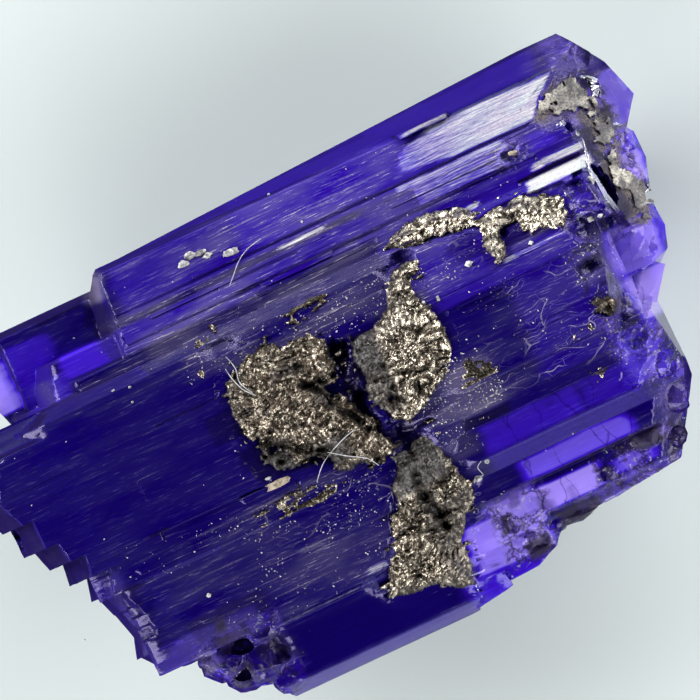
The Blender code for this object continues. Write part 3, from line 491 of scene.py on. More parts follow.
HAZE = [(1.3, 3.4, -2.75, -1.2, 1.3), (4.4, 7.2, -2.8, 0.3, 0.4), (-7.7, -3.0, 2.25, 2.62, 0.6),
        (-3.6, 4.0, 2.0, 2.7, 1.7), (-4.0, 1.6, 0.95, 2.0, 1.0), (-5.6, 6.5, 2.65, 3.7, 1.4),
        (-2.5, 3.6, 3.7, 4.95, 1.45), (-5.2, -1.5, 3.6, 4.95, 0.6), (-6.5, -1.8, -3.0, -2.5, 1.0),
        (-4.7, -1.9, -5.6, -3.9, 0.75), (-8.0, -0.6, -5.6, -3.0, 0.35), (4.0, 7.0, -0.9, 0.3, 0.45),
        (6.6, 7.6, -3.0, 0.5, 0.7), (2.6, 6.5, -2.6, -1.2, 0.5), (3.0, 8.3, 3.0, 3.75, 1.45),
        (8.1, 9.5, 4.2, 5.7, 0.9), (7.7, 8.7, 1.9, 3.6, 0.9), (-5.6, 0.6, -7.8, -7.35, 0.5),
        (-0.6, 2.6, 2.0, 3.6, 0.5), (-10.5, 8.0, -6.0, 4.8, 0.12), (1.0, 4.6, 0.6, 2.2, 1.0),
        (4.4, 7.0, 0.15, 1.0, 1.0), (-4.8, -1.5, 2.1, 3.1, 2.2)]
SCRATCHED = [(9.2, 10.3, 2.2, 4.3, 0.8), (4.4, 7.6, -2.7, 0.0, 1.0), (6.6, 8.6, -0.3, 2.0, 0.9),
             (6.6, 8.0, -4.3, -2.4, 1.0), (2.7, 4.6, 0.9, 2.0, 0.5), (8.2, 9.3, 2.0, 5.4, 0.7),
             (5.7, 6.8, 2.8, 3.6, 0.8), (-4.2, -0.2, -4.2, -2.6, 0.5), (4.7, 7.4, -6.5, -5.0, 0.7),
             (1.6, 3.2, -7.1, -5.1, 0.8), (-7.2, -4.8, -7.6, -5.2, 0.6), (3.0, 4.6, -2.6, -1.2, 0.5)]
FROST_AND_HIGHLIGHT = [(3.8, 5.2, 4.86, 4.98, 0.7), (6.25, 8.2, 2.03, 2.37, 1.0), (6.6, 8.25, 2.53, 2.73, 0.8),
         (4.5, 5.0, 2.3, 2.44, 0.8), (-0.4, 0.9, 3.5, 3.6, 0.8), (3.5, 6.3, 3.0, 3.7, 0.42),
         (2.0, 3.6, 3.0, 3.7, 0.18), (3.1, 6.2, 3.56, 3.7, 0.6), (7.5, 8.1, 3.5, 3.6, 0.6),
         (4.9, 5.35, 0.58, 0.74, 0.6), (5.35, 6.8, 0.6, 0.72, 0.35), (-2.1, -1.4, -5.5, -5.3, 0.5),
         (-5.0, -1.6, -5.75, -5.66, 0.4), (-9.4, -7.0, 1.76, 1.84, 0.2), (-7.0, -4.0, 1.6, 1.7, 0.2),
         (-8.0, -7.7, 2.3, 3.0, 0.25), (4.6, 7.3, -6.44, -6.36, 0.6)]
# Outline of the frosted facet; its white is partly a painted highlight
FROSTED_FACET = [(3.3, 4.0), (3.6, 4.6), (4.6, 4.86), (8.2, 4.78), (7.45, 4.05), (7.3, 3.8), (5.0, 3.8)]

# Dark ledges, cracks and pits, with painted shade in the hollows, slots and beside the graphite
DARK_AND_SHADE = [(-6.7, -4.9, -7.6, -5.7, 0.5), (-7.0, -4.8, -5.6, -4.6, 0.35), (8.9, 9.3, 3.6, 4.5, 0.4),
        (-8.5, -7.8, -5.2, -3.0, 0.4), (2.0, 6.9, -4.4, -3.95, 0.35), (-5.6, 0.6, -7.8, -7.4, 0.3),
        (-5.3, -1.4, 5.1, 5.28, 0.6), (-1.6, 3.0, 5.3, 5.44, 0.6), (3.0, 6.6, 5.47, 5.6, 0.6),
        (6.4, 8.9, 5.58, 5.75, 0.6), (-5.2, 0.6, -7.8, -7.68, 0.6), (3.7, 4.4, 4.66, 4.76, 0.9),
        (-3.0, 7.2, 3.72, 3.8, 0.6), (-2.0, 6.0, 2.86, 2.98, 0.6), (6.2, 8.2, 2.4, 2.5, 0.95),
        (-0.1, 1.0, -2.75, -2.1, 0.6), (2.0, 3.4, -3.08, -2.8, 0.7), (1.2, 6.9, -5.2, -5.05, 0.6),
        (-0.4, 0.05, -2.2, 0.5, 0.85), (-4.2, -3.5, -0.6, 0.2, 0.5), (-3.7, -2.8, -2.0, -1.0, 0.6),
        (3.4, 4.6, -6.6, -6.15, 0.7), (2.2, 2.8, -7.0, -6.5, 0.9), (1.05, 1.2, -6.7, -6.6, 0.9),
        (1.3, 1.45, -6.78, -6.7, 0.9), (-7.0, -6.3, -2.08, -2.0, 0.8), (-8.1, -7.6, -3.15, -3.06, 0.8),
        (-6.3, -6.1, -5.15, -4.95, 0.9), (-6.05, -5.85, -5.9, -5.7, 0.9), (-6.3, -6.1, -6.55, -6.35, 0.9),
        (-5.0, -4.8, -6.5, -6.3, 0.8), (4.47, 4.53, -3.9, -3.15, 0.6), (5.22, 5.28, -3.9, -3.15, 0.6),
        (6.32, 6.38, -3.9, -3.15, 0.6), (3.82, 3.88, -5.05, -4.45, 0.5), (3.97, 4.03, -6.0, -5.3, 0.5),
        (5.0, 5.8, 0.95, 1.5, 0.7), (3.7, 4.6, 1.1, 1.8, 0.4), (-7.3, -5.9, 4.4, 4.65, 0.6),
        (-7.6, -7.2, 3.0, 3.4, 0.7), (-6.0, -5.3, 3.4, 4.4, 0.5), (6.0, 6.8, -5.6, -5.1, 0.75),
        (7.0, 7.8, -5.2, -4.0, 0.35), (6.6, 7.1, -1.9, -1.3, 0.8), (8.3, 8.7, 0.3, 1.9, 0.3),
        (8.3, 8.6, 2.0, 3.0, 0.6), (8.9, 9.2, 2.6, 3.3, 0.5), (-5.2, 8.2, 5.55, 5.8, 0.5),
        (1.85, 2.15, -6.1, -5.6, 0.7), (4.7, 5.0, -5.9, -5.5, 0.7), (2.3, 2.6, -5.5, -5.1, 0.5),
        (3.0, 3.3, -6.1, -5.5, 0.5), (7.3, 8.2, 2.8, 2.9, 0.4)]


# Evenly clouded places, dirt in the hollows, and the windows that fine cracks cross
MILKY = [(-4.8, -1.5, 2.2, 3.1, 0.07), (6.6, 8.0, -0.9, 0.2, 0.1), (-8.6, -8.1, -5.0, -2.4, 0.06),
         (-8.4, -5.2, -5.7, -4.95, 0.08), (-5.6, 0.6, -7.8, -7.35, 0.05), (4.6, 7.4, -6.5, -6.0, 0.10),
         (8.3, 9.5, 4.4, 5.7, 0.07), (9.2, 10.3, 2.4, 4.2, 0.3), (-9.7, -8.8, 2.6, 3.6, 0.12),
         (1.1, 3.3, -2.75, -1.4, 0.07), (1.2, 2.1, -3.7, -2.8, 0.08), (1.6, 2.9, -6.9, -5.1, 0.2),
         (-7.2, -6.7, -6.1, -5.5, 0.4), (7.6, 9.0, -2.4, -1.1, 0.12), (6.7, 7.7, -3.8, -2.5, 0.12),
         (-5.7, -5.3, 4.3, 5.1, 0.45), (-8.1, -7.6, 2.3, 3.0, 0.12)]
DIRT = [(1.85, 2.15, -6.1, -5.6, 0.8), (2.2, 2.85, -7.1, -6.55, 0.9), (3.3, 4.7, -6.65, -6.15, 0.7),
        (6.0, 6.9, -5.6, -5.1, 0.85), (4.95, 5.3, -5.95, -5.6, 0.8), (7.0, 8.1, -5.2, -4.2, 0.35),
        (-6.5, -5.75, -5.85, -5.3, 0.75), (-6.5, -5.9, -6.9, -6.25, 0.7), (-5.6, -4.6, -6.7, -5.9, 0.6),
        (-6.35, -6.05, -5.25, -4.85, 0.9), (8.15, 8.7, 2.0, 3.6, 0.35), (8.3, 8.9, 0.1, 1.2, 0.6),
        (7.4, 8.5, 3.45, 3.9, 0.6), (6.85, 7.3, -1.95, -1.5, 0.8), (4.6, 7.4, -6.5, -6.1, 0.35),
        (7.0, 7.5, -5.8, -5.3, 0.4), (9.0, 9.3, 2.6, 3.5, 0.5)]
CRACKED = [(2.4, 7.5, -6.1, -3.1, 0.6), (-10.0, -3.8, -2.0, 1.6, 0.15), (7.5, 9.6, -2.4, 2.6, 0.4)]
MASKS = ("haze", "milky", "clear", "frost_and_highlight", "dark", "scratched", "broken", "dirt", "cracked", "earth")
MOTTLES = ("Veins", "Patches", "Glints")

# Striations per millimetre, fine and wide, and the refraction of tanzanite
FINE_PITCH, WIDE_PITCH = 22.0, 6.0
TANZANITE_IOR = 1.69
# Tints of the painted shade in the striations' grooves, in cracks, under the frost, and of the painted
# shade in hollows
GROOVE_SHADE_COLOUR = (0.002, 0.0, 0.06)
CRACK_COLOUR = (0.01, 0.0, 0.10)
UNDER_FROST_COLOUR = (0.08, 0.07, 0.12)
PAINTED_SHADE_COLOUR = (0.003, 0.001, 0.015)


def frosted(u, v):
    """Strength of the white bars and of the frosted facet, frost whose white is partly a painted highlight
    that brightens to the right.
    """
    facet = fade(distance_inside(u, v, FROSTED_FACET), -0.03, 0.06) * (0.45 + 0.35 * fade(u, 3.3, 6.8))
    return np.maximum(painted(u, v, FROST_AND_HIGHLIGHT, 0.1, 0.03), facet)


def painted(u, v, spans, soft_u, soft_v):
    """Largest of several soft rectangles at each place."""
    total = np.zeros(len(u))
    for u0, u1, v0, v1, share in spans:
        total = np.maximum(total, share * patch(u, v, (u0, u1, v0, v1), soft_u, soft_v))
    return total


def new_material(name):
    made = bpy.data.materials.new(name)
    made.use_nodes = True
    tree = made.node_tree
    return made, tree, tree.nodes["Principled BSDF"]


def node(tree, kind, values=None, **settings):
    """Add a node; values are put on its input sockets by name or number."""
    made = tree.nodes.new(kind)
    for key, value in settings.items():
        setattr(made, key, value)
    for key, value in (values or {}).items():
        if isinstance(value, bpy.types.NodeSocket):
            tree.links.new(value, made.inputs[key])
        else:
            made.inputs[key].default_value = value
    return made


def maths(tree, operation, first, second=0.0, clamp=False):
    values = {0: first, 1: second}
    return node(tree, "ShaderNodeMath", values, operation=operation, use_clamp=clamp).outputs[0]


def times(tree, first, second, clamp=False):
    return maths(tree, "MULTIPLY", first, second, clamp)


def plus(tree, first, second, clamp=False):
    return maths(tree, "ADD", first, second, clamp)


def vectors(tree, operation, first, second):
    return node(tree, "ShaderNodeVectorMath", {0: first, 1: second}, operation=operation).outputs[0]


def noise(tree, where, scale, detail, roughness=0.5):
    """Grey value of a cloudy pattern at a place."""
    values = {"Vector": where, "Scale": scale, "Detail": detail, "Roughness": roughness}
    return node(tree, "ShaderNodeTexNoise", values).outputs["Fac"]


def bent(tree, where, scale, detail, push):
    """The place pushed to and fro by a cloudy pattern, so that straight lines there bend."""
    values = {"Vector": where, "Scale": scale, "Detail": detail}
    moves = node(tree, "ShaderNodeTexNoise", values).outputs["Color"]
    return vectors(tree, "ADD", where, vectors(tree, "MULTIPLY", moves, (push, push, push)))


def cell_edge(tree, where, scale):
    """Distance to the nearest border in a pattern of irregular cells."""
    values = {"Vector": where, "Scale": scale}
    return node(tree, "ShaderNodeTexVoronoi", values, feature="DISTANCE_TO_EDGE").outputs["Distance"]


def linked(tree, target, values):
    """Link each value to the input of that name."""
    for name, value in values.items():
        tree.links.new(value, target.inputs[name])


def blended(tree, share, low, high):
    """Colour between low and high."""
    made = node(tree, "ShaderNodeMix", {0: share}, data_type="RGBA")
    for socket, colour in ((6, low), (7, high)):
        if isinstance(colour, bpy.types.NodeSocket):
            tree.links.new(colour, made.inputs[socket])
        else:
            made.inputs[socket].default_value = (*colour, 1.0)
    return made.outputs[2]


def ranged(tree, value, low, high, out_low=0.0, out_high=1.0):
    return node(tree, "ShaderNodeMapRange", {0: value, 1: low, 2: high, 3: out_low, 4: out_high}).outputs[0]


def attribute(tree, name):
    return node(tree, "ShaderNodeAttribute", attribute_name=name).outputs["Fac"]


def in_millimetres(tree, scale=(1.0, 1.0, 1.0)):
    """The piece's own coordinates in millimetres, stretched by scale."""
    where = node(tree, "ShaderNodeTexCoord").outputs["Object"]
    stretch = tuple(s / MM for s in scale)
    return node(tree, "ShaderNodeMapping", {"Vector": where, "Scale": stretch}).outputs[0]


def group_tree(name, inputs, outputs, colours=()):
    """Empty shader node group; an input without a default value is a vector."""
    made = bpy.data.node_groups.new(name, "ShaderNodeTree")
    for label, value in inputs.items():
        kind = "NodeSocketVector" if value is None else "NodeSocketFloat"
        socket = made.interface.new_socket(label, in_out="INPUT", socket_type=kind)
        if value is not None:
            socket.default_value = value
    for label in colours + outputs:
        kind = "NodeSocketColor" if label in colours else "NodeSocketFloat"
        made.interface.new_socket(label, in_out="OUTPUT", socket_type=kind)
    return made, made.nodes.new("NodeGroupInput"), made.nodes.new("NodeGroupOutput")


def striation_group():
    """Fine parallel lines along X: a mask of bright streaks and a height for bumps."""
    made, source, result = group_tree("fine_striations", {"Vector": None, "Pitch": 10.0, "Cover": 0.5},
                                      ("Streaks", "Height"))
    pitch = source.outputs["Pitch"]
    stretched = vectors(made, "MULTIPLY", source.outputs["Vector"], (0.05, 1.0, 1.0))
    coarse = noise(made, stretched, pitch, 3.0, 0.6)
    fine = noise(made, stretched, times(made, pitch, 2.7), 2.0)
    both = plus(made, times(made, coarse, 0.6), times(made, fine, 0.4))
    edge = maths(made, "SUBTRACT", 0.72, times(made, source.outputs["Cover"], 0.3))
    streaks = times(made, maths(made, "SUBTRACT", both, edge), 9.0, clamp=True)
    linked(made, result, {"Streaks": streaks, "Height": both})
    return made


def scratch_group():
    """Fine curved cracks and shell-shaped arcs, as a mask of thin lines."""
    made, source, result = group_tree("fine_scratches", {"Vector": None, "Width": 0.03}, ("Lines",))
    where = bent(made, source.outputs["Vector"], 0.9, 2.0, 0.9)
    stretched = vectors(made, "MULTIPLY", where, (0.3, 1.3, 1.0))
    broad = maths(made, "LESS_THAN", cell_edge(made, stretched, 1.3), source.outputs["Width"])
    thin = maths(made, "LESS_THAN", cell_edge(made, stretched, 3.7), source.outputs["Width"])
    both = plus(made, broad, times(made, thin, 0.6), clamp=True)
    unbroken = ranged(made, noise(made, where, 1.5, 2.0), 0.45, 0.6)
    linked(made, result, {"Lines": times(made, both, unbroken)})
    return made


def place_group(tree, group, values):
    return node(tree, "ShaderNodeGroup", values, node_tree=group)


def bump(tree, height, depth, strength=1.0):
    """Normal of a surface whose fine height stands depth millimetres out."""
    values = {"Strength": strength, "Distance": depth * MM, "Height": height}
    return node(tree, "ShaderNodeBump", values).outputs[0]


def mottled_group():
    """Broken, dirty crystal: dark veins between the pieces, clear patches and small white glints."""
    made, source, result = group_tree("broken_mottle", {"Vector": None, "Scale": 2.0}, MOTTLES)
    where, scale = source.outputs["Vector"], source.outputs["Scale"]
    values = {"Vector": where, "Scale": scale, "Detail": 4.0, "Roughness": 0.6}
    bend = node(made, "ShaderNodeTexNoise", values).outputs
    crests = maths(made, "ABSOLUTE", maths(made, "SUBTRACT", bend["Fac"], 0.5))
    moved = vectors(made, "ADD", bend["Color"], where)
    cells = noise(made, moved, scale, 3.0)
    grain = noise(made, moved, times(made, scale, 5.0), 2.0)
    linked(made, result, {"Veins": ranged(made, crests, 0.005, 0.05, 1.0, 0.0),
                          "Patches": ranged(made, cells, 0.52, 0.62),
                          "Glints": ranged(made, grain, 0.62, 0.70)})
    return made


def cross_crack_group():
    """Fine dark cracks that run across the striations."""
    made, source, result = group_tree("cross_cracks", {"Vector": None, "Width": 0.02}, ("Lines",))
    where = bent(made, source.outputs["Vector"], 1.3, 4.0, 0.7)
    cells = cell_edge(made, vectors(made, "MULTIPLY", where, (1.1, 0.22, 0.22)), 1.0)
    linked(made, result, {"Lines": ranged(made, cells, 0.0, source.outputs["Width"], 1.0, 0.0)})
    return made


def crystal_surface_group(look):
    """Colour, roughness and fine height of the crystal, from the masks painted on its mesh."""
    made, _, result = group_tree("crystal_surface", {}, ("Roughness", "Height"), ("Tint",))
    where, drawn_out = in_millimetres(made), in_millimetres(made, (0.3, 1.0, 1.0))
    mask = {name: attribute(made, name) for name in MASKS}
    striations = striation_group()
    lines = place_group(made, striations, {"Vector": where, "Pitch": FINE_PITCH, "Cover": 0.5})
    wide = place_group(made, striations, {"Vector": where, "Pitch": WIDE_PITCH, "Cover": 0.5})
    clouds, play = noise(made, drawn_out, 1.6, 4.0), noise(made, drawn_out, 3.0, 2.0)
    sparkle = noise(made, in_millimetres(made, (0.5, 1.0, 1.0)), 26.0, 2.0)
    cloudy = ranged(made, clouds, 0.35, 0.7)
    threads = plus(made, times(made, lines.outputs["Streaks"], 0.95),
                   times(made, wide.outputs["Streaks"], 0.4))
    threads = times(made, threads, plus(made, 0.3, cloudy))
    threads = times(made, threads, ranged(made, sparkle, 0.35, 0.65, 0.45, 1.35))
    veil = times(made, mask["haze"], plus(made, threads, times(made, cloudy, 0.12)), clamp=True)
    scratches = place_group(made, scratch_group(), {"Vector": where, "Width": 0.011}).outputs["Lines"]
    veil = plus(made, veil, times(made, times(made, scratches, mask["scratched"]), 0.5))
    milk = times(made, mask["milky"], ranged(made, clouds, 0.3, 0.7, 0.6, 1.0))
    veil = plus(made, veil, milk, clamp=True)
    # Painted shade: the low parts of the fine striations are darkened, less so in the clear windows
    thick = ranged(made, lines.outputs["Height"], 0.35, 0.65, 0.5, 0.0)
    thick = times(made, thick, ranged(made, mask["clear"], 0.0, 0.8, 1.0, 0.2))
    mottle = place_group(made, mottled_group(), {"Vector": where, "Scale": 1.5})
    share = {name: times(made, mask["broken"], mottle.outputs[name]) for name in MOTTLES}
    cracks = place_group(made, cross_crack_group(), {"Vector": where, "Width": 0.02}).outputs["Lines"]
    white = blended(made, ranged(made, play, 0.4, 0.6), look.frost_colour, look.frost_play_colour)
    etching = times(made, lines.outputs["Height"], 2.0)
    frost_and_highlight = ranged(made, plus(made, etching, mask["frost_and_highlight"]), 1.33, 2.08)
    frost_and_highlight = times(made, frost_and_highlight, ranged(made, sparkle, 0.3, 0.6, 0.65, 1.0))
    grime = times(made, mask["dirt"], ranged(made, sparkle, 0.35, 0.65, 1.0, 0.7))
    earth = times(made, mask["earth"], ranged(made, noise(made, where, 3.0, 5.0), 0.42, 0.5))
    soil = blended(made, ranged(made, sparkle, 0.35, 0.6), look.dirt_colour, look.earth_colour)
    # Deep, violet and clear tints where the crystal is thinner: the paler tint is partly its own colour and
    # partly painted backlight. Then painted shade in the grooves, haze, broken patches, painted white
    # glints, dark veins, cracks, frost with painted highlights, dirt, earth and painted shade in hollows
    tint = blended(made, ranged(made, mask["clear"], 0.0, 0.5), look.deep_colour, look.violet_colour)
    for cover, colour in ((ranged(made, mask["clear"], 0.5, 1.0), look.clear_colour),
                          (thick, GROOVE_SHADE_COLOUR), (veil, look.haze_colour),
                          (times(made, share["Patches"], 0.55), look.broken_colour),
                          (times(made, share["Glints"], 0.7), look.frost_colour),
                          (times(made, share["Veins"], 0.8), look.dirt_colour),
                          (times(made, cracks, mask["cracked"]), CRACK_COLOUR),
                          (times(made, mask["frost_and_highlight"], 0.6), UNDER_FROST_COLOUR), (frost_and_highlight, white),
                          (grime, look.dirt_colour), (earth, soil), (mask["dark"], PAINTED_SHADE_COLOUR)):
        tint = blended(made, cover, tint, colour)
    rough = ranged(made, mask["clear"], 0.0, 0.6, 0.15, 0.05)
    for cover, gain in ((veil, 0.25), (mask["dirt"], 0.3), (mask["dark"], 0.12), (earth, 0.5)):
        rough = plus(made, rough, times(made, cover, gain))
    rough = plus(made, rough, times(made, frost_and_highlight, 0.3), clamp=True)
    share_of_height = plus(made, 0.2, plus(made, mask["haze"], mask["frost_and_highlight"]), clamp=True)
    height = times(made, lines.outputs["Height"], share_of_height)
    linked(made, result, {"Tint": tint, "Roughness": rough, "Height": height})
    return made


def crystal_material(name, surface, look, clarity, reflection):
    """Crystal with one share of light let in: none for the frosted faces and the dull, steep ends."""
    made, tree, shader = new_material(name)
    face = place_group(tree, surface, {}).outputs
    linked(tree, shader, {"Base Color": face["Tint"], "Roughness": face["Roughness"],
                          "Normal": bump(tree, face["Height"], 0.012)})
    shader.inputs["Transmission Weight"].default_value = clarity
    shader.inputs["IOR"].default_value = TANZANITE_IOR
    shader.inputs["Specular Tint"].default_value = (*reflection, 1.0)
    shader.inputs["Specular IOR Level"].default_value = 0.2 if clarity else 0.0
    if clarity:
        absorb = node(tree, "ShaderNodeVolumeAbsorption")
        absorb.inputs["Color"].default_value = (*look.absorption_colour, 1.0)
        absorb.inputs["Density"].default_value = look.absorption_density
        tree.links.new(absorb.outputs[0], tree.nodes["Material Output"].inputs["Volume"])
    return made


def graphite_material(look):
    made, tree, shader = new_material("brassy_graphite")
    hollow_shade, grain = attribute(tree, "hollow_shade"), attribute(tree, "grain")
    speckle = noise(tree, in_millimetres(tree), 30.0, 3.0)
    bright = ranged(tree, plus(tree, times(tree, grain, 0.7), speckle), 0.72, 1.15)
    flake = blended(tree, bright, look.grey, look.brassy)
    # Painted shade: the marked hollows and dim patches turn nearly black and less metallic
    metal = maths(tree, "SUBTRACT", 0.95, times(tree, hollow_shade, 0.6), clamp=True)
    linked(tree, shader, {"Base Color": blended(tree, hollow_shade, flake, (0.014, 0.011, 0.012)),
                          "Roughness": ranged(tree, grain, 0.0, 1.0, 0.36, 0.2), "Metallic": metal,
                          "Normal": bump(tree, speckle, 0.014)})
    return made


def clay_material(look):
    made, tree, shader = new_material("tan_clay")
    where = in_millimetres(tree)
    patches, fine = noise(tree, where, 2.2, 5.0), noise(tree, where, 16.0, 3.0)
    mixed = blended(tree, ranged(tree, patches, 0.42, 0.6), look.dark, look.light)
    grit = blended(tree, ranged(tree, fine, 0.45, 0.6, 0.0, 0.7), mixed, (0.05, 0.045, 0.05))
    # Painted shade darkens the clay in its marked hollows and dim lengths
    shade = times(tree, attribute(tree, "hollow_shade"), 0.8)
    linked(tree, shader, {"Base Color": blended(tree, shade, grit, (0.03, 0.025, 0.04)),
                          "Roughness": ranged(tree, fine, 0.3, 0.7, 0.55, 0.95),
                          "Normal": bump(tree, fine, 0.02, 0.8)})
    return made


def speckled_material(name, light, dark, roughness, scale):
    """Dull surface with soft spots of two shades; scale is the spots per millimetre."""
    made, tree, shader = new_material(name)
    spots = noise(tree, in_millimetres(tree), scale, 3.0)
    linked(tree, shader, {"Base Color": blended(tree, ranged(tree, spots, 0.35, 0.65), dark, light),
                          "Roughness": ranged(tree, spots, 0.3, 0.7, roughness, roughness + 0.1)})
    return made


def segment_distance(spots, a, b):
    """Distance from each place to the straight line between two points."""
    span = b - a
    t = np.clip(((spots - a) @ span) / (span @ span), 0.0, 1.0)
    return np.linalg.norm(spots - a - t[:, None] * span, axis=1)


def near_path(spots, path):
    """Distance from each place to a path."""
    ends = np.array(path, float)
    return np.min([segment_distance(spots, a, b) for a, b in zip(ends, ends[1:])], axis=0)


def distance_inside(u, v, outline):
    """Distance to a closed outline, positive inside it."""
    ends = np.array(outline + outline[:1], float)
    inside = np.zeros(len(u), bool)
    for a, b in zip(ends, ends[1:]):
        crosses = (a[1] > v) != (b[1] > v)
        reach = a[0] + (v - a[1]) / (b[1] - a[1] if b[1] != a[1] else 1.0) * (b[0] - a[0])
        inside ^= crosses & (u < reach)
    nearest = near_path(np.stack([u, v], axis=1), ends)
    return np.where(inside, nearest, -nearest)


def neighbour_sum(grid):
    """Sum of the four cells beside each cell of a grid."""
    ringed = np.pad(grid, 1, mode="edge")
    return ringed[:-2, 1:-1] + ringed[2:, 1:-1] + ringed[1:-1, :-2] + ringed[1:-1, 2:]


def ground_height(tree, u, v, outline):
    """Height of the crystal's faces at places, carried on smoothly over the seat in them."""
    grid_u = np.arange(u.min() - 0.5, u.max() + 0.7, GROUND_STEP)
    grid_v = np.arange(v.min() - 0.5, v.max() + 0.7, GROUND_STEP)
    cells_u, cells_v = np.meshgrid(grid_u, grid_v, indexing="ij")
    heights = np.full(cells_u.shape, np.nan)
    for index in np.ndindex(cells_u.shape):
        above = Vector((cells_u[index] + SHIFT_U, cells_v[index] + SHIFT_V, HIGH))
        hit = tree.ray_cast(above, DOWN)[0]
        if hit is not None:
            heights[index] = hit.z
    inside = distance_inside(cells_u.ravel(), cells_v.ravel(), outline).reshape(heights.shape)
    unknown = (inside > -SEAT_GAP - 0.12) | np.isnan(heights)
    heights[unknown] = heights[~unknown].mean()
    for _ in range(SPREAD_PASSES):
        heights = np.where(unknown, neighbour_sum(heights) / 4, heights)
    a, b = (u - grid_u[0]) / GROUND_STEP, (v - grid_v[0]) / GROUND_STEP
    i, j = a.astype(int), b.astype(int)
    a, b = a - i, b - j
    return ((heights[i, j] * (1 - a) + heights[i + 1, j] * a) * (1 - b)
            + (heights[i, j + 1] * (1 - a) + heights[i + 1, j + 1] * a) * b)


def softened(grid, passes):
    """A grid of heights with its fine detail averaged away."""
    for _ in range(passes):
        grid = (neighbour_sum(grid) + grid) / 5
    return grid


def two_sided(name, keep, across, top, bottom):
    """Closed mesh between two sheets over the kept places of a grid."""
    index = np.full(keep.shape, -1)
    cells = keep[:-1, :-1] & keep[1:, :-1] & keep[:-1, 1:] & keep[1:, 1:]
    used = np.zeros(keep.shape, bool)
    for i, j in ((0, 0), (1, 0), (0, 1), (1, 1)):
        used[i:keep.shape[0] - 1 + i, j:keep.shape[1] - 1 + j] |= cells
    count = used.sum()
    index[used] = np.arange(count)
    a, b, c, d = index[:-1, :-1][cells], index[1:, :-1][cells], index[1:, 1:][cells], index[:-1, 1:][cells]
    quads = [np.stack([a, b, c, d], axis=1), np.stack([d, c, b, a], axis=1) + count]
    padded = np.pad(cells, 1)
    for di, dj, first, last in ((-1, 0, d, a), (1, 0, b, c), (0, -1, a, b), (0, 1, c, d)):
        beside = padded[1 + di:padded.shape[0] - 1 + di, 1 + dj:padded.shape[1] - 1 + dj][cells]
        rim = ~beside
        quads.append(np.stack([last[rim], first[rim], first[rim] + count, last[rim] + count], axis=1))
    flat = across[used]
    points = np.concatenate([np.column_stack([flat, top[used]]), np.column_stack([flat, bottom[used]])])
    mesh = bpy.data.meshes.new(name)
    mesh.from_pydata((inside_box(points) * MM).tolist(), [], np.concatenate(quads).tolist())
    return mesh, used


def crust_edge(spots, outline, seed, ragged, holes, spray, hole_scale):
    """Distance inside a crust's broken edge, with holes in the crust and flakes strewn round it."""
    inside = distance_inside(spots[:, 0], spots[:, 1], outline)
    edge = (inside + 0.04 + ragged * layered(spots, (1.5, 1.5), seed)
            + 0.6 * ragged * layered(spots, (7.0, 7.0), seed + 3))
    edge = np.minimum(edge, 0.6 * (holes - layered(spots, hole_scale, seed + 31)))
    flecks = layered(spots, (4.0, 6.5), seed + 21, 2) - 0.85 + 0.5 * fade(inside, -spray, 0.0)
    return np.maximum(edge, 0.3 * np.where(inside > -spray, flecks, -1.0))


def crust_mesh(name, outline, seat, rise, pitch, seed, size, creases=(), dim=(), ragged=0.25,
               holes=1.0, spray=0.1, shade=1.0, hole_scale=(1.5, 1.9)):
    """Granular, folded crust of flakes over one seat."""
    reach = np.array(outline)
    us = np.arange(reach[:, 0].min() - 0.4 - spray, reach[:, 0].max() + 0.4 + spray, pitch)
    vs = np.arange(reach[:, 1].min() - 0.4 - spray, reach[:, 1].max() + 0.4 + spray, pitch)
    u, v = np.meshgrid(us, vs, indexing="ij")
    shape = u.shape
    u, v = u.ravel(), v.ravel()
    spots = np.stack([u, v], axis=1)
    edge = crust_edge(spots, outline, seed, ragged, holes, spray, hole_scale)
    ground = ground_height(tree_of("tanzanite_crystal"), u, v, seat)
    dome = np.sqrt(np.clip(1.0 - (1.0 - np.clip(edge / 1.5, 0.0, 1.0)) ** 3, 0.0, 1.0))
    lumps = 0.75 + 0.6 * layered(spots, (0.8, 0.8), seed + 5, 2)
    sway = np.stack([layered(spots, (1.1, 1.1), seed + k) for k in (7, 8)], axis=1)
    swayed = spots + 0.35 * sway
    folds = creased(swayed, (1.3, 2.1), seed + 9, 4)
    coarse, _ = plates(swayed, 1.0 / (3.0 * size), seed + 11, 0.6)
    fine, grain = plates(swayed, 1.0 / size, seed + 13, 0.9)
    detail = min(1.0, rise * 2.0) * (0.55 * (folds - 0.72) + 0.6 * coarse + 0.6 * fine)
    for path, width, height in creases:
        detail += height * np.exp(-(near_path(spots, path) / width) ** 2)
    stand = rise * dome * lumps + np.clip(edge / 0.25, 0.15, 1.0) * detail
    top = (ground + CRUST_LIFT + CRUST_RISE * np.tanh(stand / CRUST_RISE)).reshape(shape)
    bottom = (ground - CRUST_SINK).reshape(shape)
    across = np.stack([u + SHIFT_U, v + SHIFT_V], axis=1).reshape(*shape, 2)
    mesh, used = two_sided(name, (edge > 0.0).reshape(shape), across, np.maximum(top, bottom + 0.07),
                           bottom)
    # Painted shade: the hollows of the crust and its dim patches are marked for the materials to darken
    hollow_shade = np.maximum(fade(softened(top, 30) - top, 0.01, 0.10),
                        painted(u, v, dim, 0.2, 0.15).reshape(shape))
    for label, grid in (("hollow_shade", hollow_shade), ("grain", grain.reshape(shape) * shade)):
        mark(mesh, label, np.tile(grid[used], 2))
    return mesh


